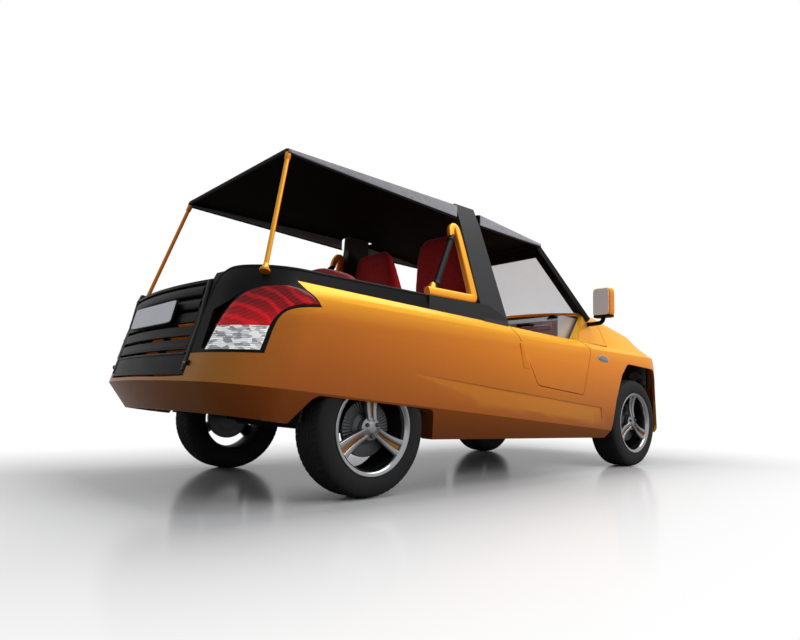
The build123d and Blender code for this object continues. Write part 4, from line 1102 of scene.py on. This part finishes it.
# height, middle y, half width, half depth
BACK_ROWS = [(0.620, -0.128, 0.226, 0.052), (0.900, -0.208, 0.250, 0.054),
             (1.210, -0.272, 0.268, 0.048), (1.400, -0.296, 0.232, 0.042),
             (1.500, -0.304, 0.190, 0.037), (1.553, -0.308, 0.150, 0.032)]
BENCH_ROWS = [(0.735, -1.050, 0.548, 0.046), (1.010, -1.084, 0.532, 0.044),
              (1.105, -1.094, 0.505, 0.042), (1.160, -1.099, 0.425, 0.040),
              (1.205, -1.104, 0.300, 0.035), (1.238, -1.108, 0.200, 0.030)]
back = pad("seat_back_right", padded_back(SEAT_X, BACK_ROWS), SEAT_CAP, ["front_seats"])
cushion = pad("seat_cushion_right", padded_cushion(SEAT_X, 0.238, (-0.178, 0.318),
                                                   (0.478, 0.590)), SEAT_CAP)
twin(back, "seat_back_left")
twin(cushion, "seat_cushion_left")
pad("bench_back", padded_back(0.0, BENCH_ROWS), BENCH_CAP, ["rear_bench"])
pad("bench_cushion", padded_cushion(0.0, 0.548, (-1.095, -0.722), (0.572, 0.712), 96),
    BENCH_CAP)

# %% [markdown]
# ## Door mirrors
# A mirror is a rounded orange shell on a black arm. The glass is a pale plate, a painted reflection
# of the white studio, set in the shell's rear face, with a thin orange rim round it, and the
# underside is black.

# %% Mirrors
for side, way in SIDES.items():
    middle = np.array((way * 0.8735, 0.824, 1.192))
    piece(f"mirror_shell_{side}", [rounded_block(middle, (0.0710, 0.0350, 0.1060), 7.0, 40, 56)],
          paint, "body", ["mirrors"] if side == "left" else [])
    piece(f"mirror_foot_{side}", [rounded_block(middle - (0, 0.001, 0.0985), (0.0700, 0.0350,
          0.0115), 5.0)], satin_black, "body")
    piece(f"mirror_glass_{side}", [rounded_block(middle - (way * 0.001, 0.0345, -0.004),
          (0.0605, 0.0022, 0.0950), 9.0, 32, 64)], mirror_painted_reflection, "body")
    arm = smooth_path([(way * 0.715, 0.822, 1.044), (way * 0.800, 0.822, 1.044),
                       (way * 0.866, 0.822, 1.050), (way * 0.876, 0.822, 1.105)], 30)
    piece(f"mirror_arm_{side}", [carried(arm, superellipse(0.0150, 0.0125, 2.6, 24), (0, 1, 0))],
          satin_black, "body")

# %% [markdown]
# ## Flaps and small lamps on the side
# Behind each door's seam a slim flap covers the latch. It is a plate with rounded corners that
# follows the door's skin and rides on the door. On the wing sits an oval side lamp in a bright
# ring.

# %% Side trim
def flap(way):
    """Four-cornered plate, rounded by a superellipse in its own two directions."""
    corners = np.array([(1.099, 0.834), (1.143, 0.834), (1.216, 0.676), (1.140, 0.676)])
    ring = superellipse(1.0, 1.0, 7.0, 64)
    u, v = (ring[:, 0] + 1) / 2, (ring[:, 1] + 1) / 2
    top = corners[0] + (corners[1] - corners[0]) * u[:, None]
    low = corners[3] + (corners[2] - corners[3]) * u[:, None]
    edge = low + (top - low) * v[:, None]
    middle = edge.mean(0)
    sizes = np.array([(0.0, -0.003), (1.0, -0.003), (1.0, 0.0012), (0.975, 0.0024), (0.9, 0.003),
                      (0.0, 0.003)])
    shape = middle + (edge - middle)[None] * sizes[:, 0][:, None, None]
    x = np.broadcast_to((way * (0.8395 + sizes[:, 1]))[:, None], shape.shape[:2])
    return np.stack([x, REAR_AXLE + shape[..., 0], shape[..., 1]], -1), False, True


def oval(way, grow, out, deep):
    """Oval dome on the wing: grow is its size, out its height over the skin."""
    ring = superellipse(0.074 * grow, 0.0225 * grow, 2.3, 64)
    rows = np.array([(0.0, -deep), (1.0, -deep), (1.0, out * 0.4), (0.93, out * 0.85),
                     (0.6, out), (0.0, out)])
    points = ring[None] * rows[:, 0][:, None, None]
    x = np.broadcast_to((way * (0.8385 + rows[:, 1]))[:, None], points.shape[:2])
    return np.stack([x, 0.873 + points[..., 0], 0.792 - 0.10 * points[..., 0]
                     + points[..., 1]], -1), False, True


for side, way in SIDES.items():
    body = "door_l" if way < 0 else "door_r"
    piece(f"door_flap_{side}", [flap(way)], paint, body, sharp=20.0)
    piece(f"side_lamp_ring_{side}", [oval(way, 1.0, 0.004, 0.004)], chrome, "body")
    piece(f"side_lamp_lens_{side}", [oval(way, 0.78, 0.0075, 0.001)], head_glass, "body")

# %% [markdown]
# ## The dash
# The dash is a plain body, silver as the open side shows it. It gets a raised face with a pale
# strip, a black round vent at each end, and dials in front of the driver, which carry ticks and
# needles only.

# %% Dash face, vents and dials
silver_face = coated("silver_face", colour(176, 178, 183), colour(208, 210, 214), 0.32, 800.0,
                     0.0001, coat=0.3, metallic=0.5)
pale_strip = coated("pale_strip", colour(226, 227, 230), colour(244, 244, 246), 0.3, 800.0,
                    0.0001, coat=0.2)
nodes["dashboard"].material_slots[0].material = silver_face
DASH_Y = 0.520
piece("dash_face", [rounded_block((0, DASH_Y + 0.004, 1.0120), (0.640, 0.010, 0.030), 8.0, 24, 96)],
      silver_face, "body")
piece("dash_strip", [rounded_block((0, DASH_Y - 0.004, 1.0180), (0.630, 0.006, 0.0060), 6.0, 16,
                                   96)], pale_strip, "body")
VENT = [(-0.050, 0.0), (-0.050, 0.044), (-0.020, 0.0500), (0.012, 0.0500), (0.022, 0.0460),
        (0.024, 0.0380), (0.014, 0.0350), (0.012, 0.0)]
for side, way in SIDES.items():
    centre = (way * 0.628, 0.560, 1.046)
    blades = [rounded_block((way * 0.628, 0.553, 1.046 + k * 0.014), (0.034, 0.008, 0.0022), 3.0,
                            10, 20) for k in (-1, 0, 1)]
    piece(f"dash_vent_{side}", [turned_form(VENT, centre, (0, -1, 0.1), (1, 0, 0), 48)] + blades,
          satin_black, "body")
POD = [(-0.050, 0.0), (-0.050, 0.052), (0.018, 0.056), (0.026, 0.052), (0.020, 0.0475),
       (0.006, 0.046), (0.006, 0.0)]
for number, (x, grow) in enumerate(((-0.425, 1.0), (-0.295, 1.0), (-0.360, 0.62))):
    rise = 0.0 if grow == 1.0 else 0.020
    profile = np.array(POD) * (1.0, grow)
    piece(f"dial_{number + 1}", [turned_form(profile, (x, 0.545, 1.088 + rise), (0, -1, 0.28),
                                             (1, 0, 0), 48)], grained_trim, "body")
    tilt = Vector((0, -1, 0.28)).normalized()
    across, above = np.array((1.0, 0, 0)), np.array(tilt.cross(Vector((1, 0, 0))))
    face = np.array((x, 0.545, 1.088 + rise)) + np.array(tilt) * 0.0075
    ticks = []
    for angle in np.linspace(-2.2, 2.2, 13):
        way_out = across * math.sin(angle) + above * math.cos(angle)
        path = np.linspace(face + way_out * 0.034 * grow, face + way_out * 0.042 * grow, 3)
        ticks.append(carried(path, superellipse(0.0009, 0.0009, 2.0, 6), tilt))
    needle = across * math.sin(-1.1) + above * math.cos(-1.1)
    ticks.append(carried(np.linspace(face - needle * 0.006, face + needle * 0.033 * grow, 4),
                         superellipse(0.0015, 0.0010, 2.0, 8), tilt))
    piece(f"dial_marks_{number + 1}", ticks, pale_strip, "body")

# %% [markdown]
# ## The corner lamps
# Each tail lamp is a comma that lies round the body's corner: red above, clear below, in a black
# border. The body's skin is known as a function of two numbers, how far round the corner and how
# high, so the comma is drawn flat as two smooth curves, filled between them, and laid on the skin.

# %% The skin of a corner
HALF, CORNER, BOW, STRAIGHT = 0.840, 0.330, math.radians(12), 0.5
SKIN = np.array([
    # height at the rear axle, fall forward, set in from the side, set in from the tail
    (0.4650, 0.08460, 0.0000, 0.0000), (0.7700, 0.01350, 0.0000, 0.0660),
    (0.8250, 0.01350, 0.0015, 0.0800), (0.8550, 0.01350, 0.0045, 0.0875),
    (0.8800, 0.01350, 0.0085, 0.0940), (0.9122, 0.02208, 0.0150, 0.1020),
    (0.9444, 0.03065, 0.0270, 0.1095), (0.9720, 0.03800, 0.0450, 0.1160),
    (1.0400, 0.01450, 0.0620, 0.1400)])


def skin(way, turn, z, out=0.0):
    """Point of the skin: turn below 0 is the bowed tail, 0 to 1 the corner, above 1 the side."""
    turn, z = np.broadcast_arrays(np.asarray(turn, float), np.asarray(z, float))
    y = np.full(turn.shape, -1.85)
    for _ in range(5):
        level = SKIN[:, 0] - SKIN[:, 1] * (y[..., None] - REAR_AXLE)
        share = np.clip((z[..., None] - level[..., :-1]) / np.diff(level), 0, 1)
        side, tail = ((share * np.diff(SKIN[:, k])).sum(-1) for k in (2, 3))
        half, corner = HALF - side, CORNER - side
        start = half - corner * (1 - math.sin(BOW))
        middle = TAIL + tail + start * math.tan(BOW / 2) + corner * math.cos(BOW)
        angle = np.where(turn < 0, BOW * (1 + np.clip(turn, -1, 0)),
                         BOW + np.clip(turn, 0, 1) * (math.pi / 2 - BOW))
        bow = start / math.sin(BOW)
        y = np.where(turn < 0, TAIL + tail + bow * (1 - np.cos(angle)),
                     np.where(turn > 1, middle + (turn - 1) * STRAIGHT,
                              middle - corner * np.cos(angle)))
    x = np.where(turn < 0, bow * np.sin(angle), half - corner + corner * np.sin(angle))
    x, y = x + out * np.sin(angle), y - out * np.cos(angle) * (turn <= 1)
    return np.stack([way * x, y, z], -1)


ROUND = CORNER * (math.pi / 2 - BOW)


def unrolled(turn):
    """Length along the skin from the corner's start, at a turn."""
    return np.where(turn > 1, ROUND + (turn - 1) * STRAIGHT, turn * ROUND)


def rolled(length):
    """The turn at a length along the skin."""
    return np.where(length > ROUND, 1 + (length - ROUND) / STRAIGHT, length / ROUND)


def through(points, count):
    """Smooth curve through points: a cubic between each two, with its neighbours' slopes."""
    points = np.array(points, float)
    longer = np.concatenate([2 * points[:1] - points[1:2], points,
                             2 * points[-1:] - points[-2:-1]])
    t = np.linspace(0, len(points) - 1 - 1e-9, count)
    k, f = t.astype(int), (t % 1)[:, None]
    a, b, c, d = (longer[k + m] for m in range(4))
    return 0.5 * (2 * b + (c - a) * f + (2 * a - 5 * b + 4 * c - d) * f ** 2
                  + (3 * b - a - 3 * c + d) * f ** 3)


# %% Lamp outlines, as (turn, height)
GLASS_BACK = [(0.030, 0.669), (0.065, 0.724), (0.105, 0.790), (0.165, 0.849), (0.250, 0.8975),
              (0.365, 0.930), (0.480, 0.9463), (0.635, 0.9563), (0.775, 0.9587), (0.900, 0.9500),
              (0.990, 0.9325), (1.045, 0.9087), (1.078, 0.889)]
GLASS_FRONT = [(0.598, 0.669), (0.610, 0.719), (0.618, 0.764), (0.642, 0.802), (0.695, 0.8400),
               (0.770, 0.8625), (0.855, 0.8760), (0.980, 0.8850), (1.078, 0.889)]
BORDER_FRONT = [(0.645, 0.6572), (0.654, 0.7125), (0.666, 0.770), (0.694, 0.8150),
                (0.752, 0.8440), (0.845, 0.8610), (0.960, 0.8700), (1.112, 0.8790)]
LAMP_ROWS, LAMP_COLUMNS = 60, 26
BORDER, BUMPER_TOP = 0.009, 0.6572
back_curve, front_curve = through(GLASS_BACK, LAMP_ROWS), through(GLASS_FRONT, LAMP_ROWS)
border_front = through(BORDER_FRONT, LAMP_ROWS)
slope = np.gradient(np.stack([unrolled(back_curve[:, 0]), back_curve[:, 1]], -1), axis=0)
slope /= np.linalg.norm(slope, axis=1, keepdims=True)
border_back = np.stack([
    rolled(unrolled(back_curve[:, 0]) - slope[:, 1] * BORDER),
    np.maximum(back_curve[:, 1] + slope[:, 0] * BORDER, BUMPER_TOP)], -1)
border_back[-1] = border_front[-1]


def laid(way, first, second, height, deep):
    """Closed shell on the skin between two curves: height(share) proud, deep below."""
    share = np.linspace(0, 1, LAMP_COLUMNS)[None]
    turn = first[:, :1] * (1 - share) + second[:, :1] * share
    z = first[:, 1:] * (1 - share) + second[:, 1:] * share
    front = skin(way, turn, z, height(share) + 0 * turn)
    back = skin(way, turn[:, ::-1], z[:, ::-1], -deep + 0 * turn)
    grid = np.concatenate([front, back], 1)
    first_row = np.concatenate([back[:1, ::-1], back[:1]], 1)
    last_row = np.concatenate([back[-1:, ::-1], back[-1:]], 1)
    return np.concatenate([first_row, grid, last_row]), False, True


def crowned(edge, rise):
    """Height over the skin: edge at the rims and rise more inside them."""
    return lambda share: edge + rise * (1 - abs(2 * share - 1) ** 8)


fill_front = np.stack([rolled(unrolled(border_front[:, 0]) + 0.046),
                       np.maximum(border_front[:, 1] - 0.028, 0.6570)], -1)
for side, way in SIDES.items():
    piece(f"lamp_border_{side}", [laid(way, border_back, border_front, crowned(0.0010, 0.0004),
                                       0.010)], satin_black, "body",
          sharp=50.0)
    piece(f"lamp_glass_{side}", [laid(way, back_curve, front_curve, crowned(0.0022, 0.0032),
                                      0.006)], tail_glass, "body",
          ["tail_lamps"] if way < 0 else (), sharp=50.0)
    rib_at = np.linspace(0.084, 0.617, 50)
    rib_z = np.interp(rib_at, (0.07, 0.60), (LAMP_SPLIT + 0.004, LAMP_SPLIT - 0.0035))
    piece(f"lamp_rib_{side}", [carried(skin(way, rib_at, rib_z, 0.0046),
          superellipse(0.0014, 0.0020, 2.0, 10), (0, 0, 1))], tail_glass, "body")
    piece(f"corner_skin_{side}", [laid(way, border_front - (0.004, 0), fill_front,
                                       crowned(0.0004, 0.0002), 0.002)], paint, "body",
          sharp=60.0)

# %% [markdown]
# ## Rail cap, plate and hinge knuckles
# A round cap softens the top edge of the black rail and rises from the gate's corner in one
# curve. The plate is blank: a pale sheet in a thin dark frame. The gate's two hinge pins end in
# black knuckles.

# %% Rail cap, plate and knuckles
CAP_LINE = [(-0.135, 0.900), (-0.105, 0.950), (-0.070, 0.990), (-0.030, 1.018), (0.030, 1.033),
            (0.120, 1.040), (0.300, 1.0425), (0.700, 1.0425), (1.000, 1.0415), (1.300, 1.0395),
            (1.900, 1.0360), (2.600, 1.0310), (2.920, 1.0285)]
for side, way in SIDES.items():
    line = through(CAP_LINE, 150)
    path = skin(way, line[:, 0], line[:, 1], -0.0095)
    piece(f"rail_cap_{side}", [carried(path, superellipse(0.0115, 0.0115, 2.4, 20), (0, 0, 1))],
          satin_black, "body")
    piece(f"hinge_knuckle_{side}", [rounded_block((way * 0.5035, -1.990, 0.613),
          (0.0115, 0.0120, 0.0125), 2.6, 20, 28)], satin_black, "body")
PLATE_MIDDLE, PLATE_LEAN = np.array((0.0, -1.9765, 0.8600)), 0.234
plate_up = np.array((0.0, math.sin(PLATE_LEAN), math.cos(PLATE_LEAN)))
plate_out = np.array((0.0, -math.cos(PLATE_LEAN), math.sin(PLATE_LEAN)))


def plate_form(half_x, half_z, out_low, out_high, power=14.0):
    """Thin slab with rounded corners, leaning with the gate."""
    ring = superellipse(half_x, half_z, power, 120)
    rows = np.array([(0.0, out_low), (1.0, out_low), (1.0, out_high - 0.0006),
                     (0.995, out_high), (0.0, out_high)])
    across = ring[None, :, :1] * rows[:, :1, None]
    above = ring[None, :, 1:] * rows[:, :1, None]
    return (PLATE_MIDDLE + across * np.array((1.0, 0, 0)) + above * plate_up
            + rows[:, 1][:, None, None] * plate_out), False, True


piece("plate_frame", [plate_form(0.280, 0.059, -0.0060, 0.0045)], satin_black, "gate",
      ["number_plate"], sharp=20.0)
piece("plate_sheet", [plate_form(0.2750, 0.0545, -0.0010, 0.0060)], plate_white, "gate",
      sharp=20.0)

# %% [markdown]
# ## Soft shading on the solids
# A solid's rounded faces come as flat triangles. A small node group merges their loose corners
# and shades across every edge that turns less than a chosen angle, so the shoulder and corners
# look round and the creases stay sharp. Broad flat faces keep their own direction. The meshes
# themselves aren't touched.

# %% Soft shading
def soft_shading(angle):
    """Geometry nodes: merge by distance, then smooth shading save over edges sharper than angle."""
    group = bpy.data.node_groups.new("soft_shading", "GeometryNodeTree")
    group.interface.new_socket("Geometry", in_out="INPUT", socket_type="NodeSocketGeometry")
    group.interface.new_socket("Geometry", in_out="OUTPUT", socket_type="NodeSocketGeometry")
    make, link = group.nodes.new, group.links.new
    come, go = make("NodeGroupInput"), make("NodeGroupOutput")
    strip = make("GeometryNodeRemoveAttribute")
    strip.inputs["Name"].default_value = "custom_normal"
    merge = make("GeometryNodeMergeByDistance")
    merge.inputs["Distance"].default_value = 0.00002
    faces = make("GeometryNodeSetShadeSmooth")
    faces.domain = "FACE"
    edges = make("GeometryNodeSetShadeSmooth")
    edges.domain = "EDGE"
    edges.inputs["Shade Smooth"].default_value = False
    turn = make("GeometryNodeInputMeshEdgeAngle")
    sharp = make("FunctionNodeCompare")
    sharp.data_type, sharp.operation = "FLOAT", "GREATER_THAN"
    sharp.inputs[1].default_value = angle
    link(turn.outputs[0], sharp.inputs[0])
    link(sharp.outputs[0], edges.inputs["Selection"])
    for first, second in ((come, strip), (strip, merge), (merge, faces), (faces, edges),
                          (edges, go)):
        link(first.outputs[0], second.inputs[0])
    return group


shading = soft_shading(math.radians(16.0))
for name, solid in nodes.items():
    if not solid.hide_render:
        solid.modifiers.new("soft_shading", "NODES").node_group = shading
        weighted = solid.modifiers.new("broad_faces_first", "WEIGHTED_NORMAL")
        weighted.keep_sharp, weighted.weight = True, 90
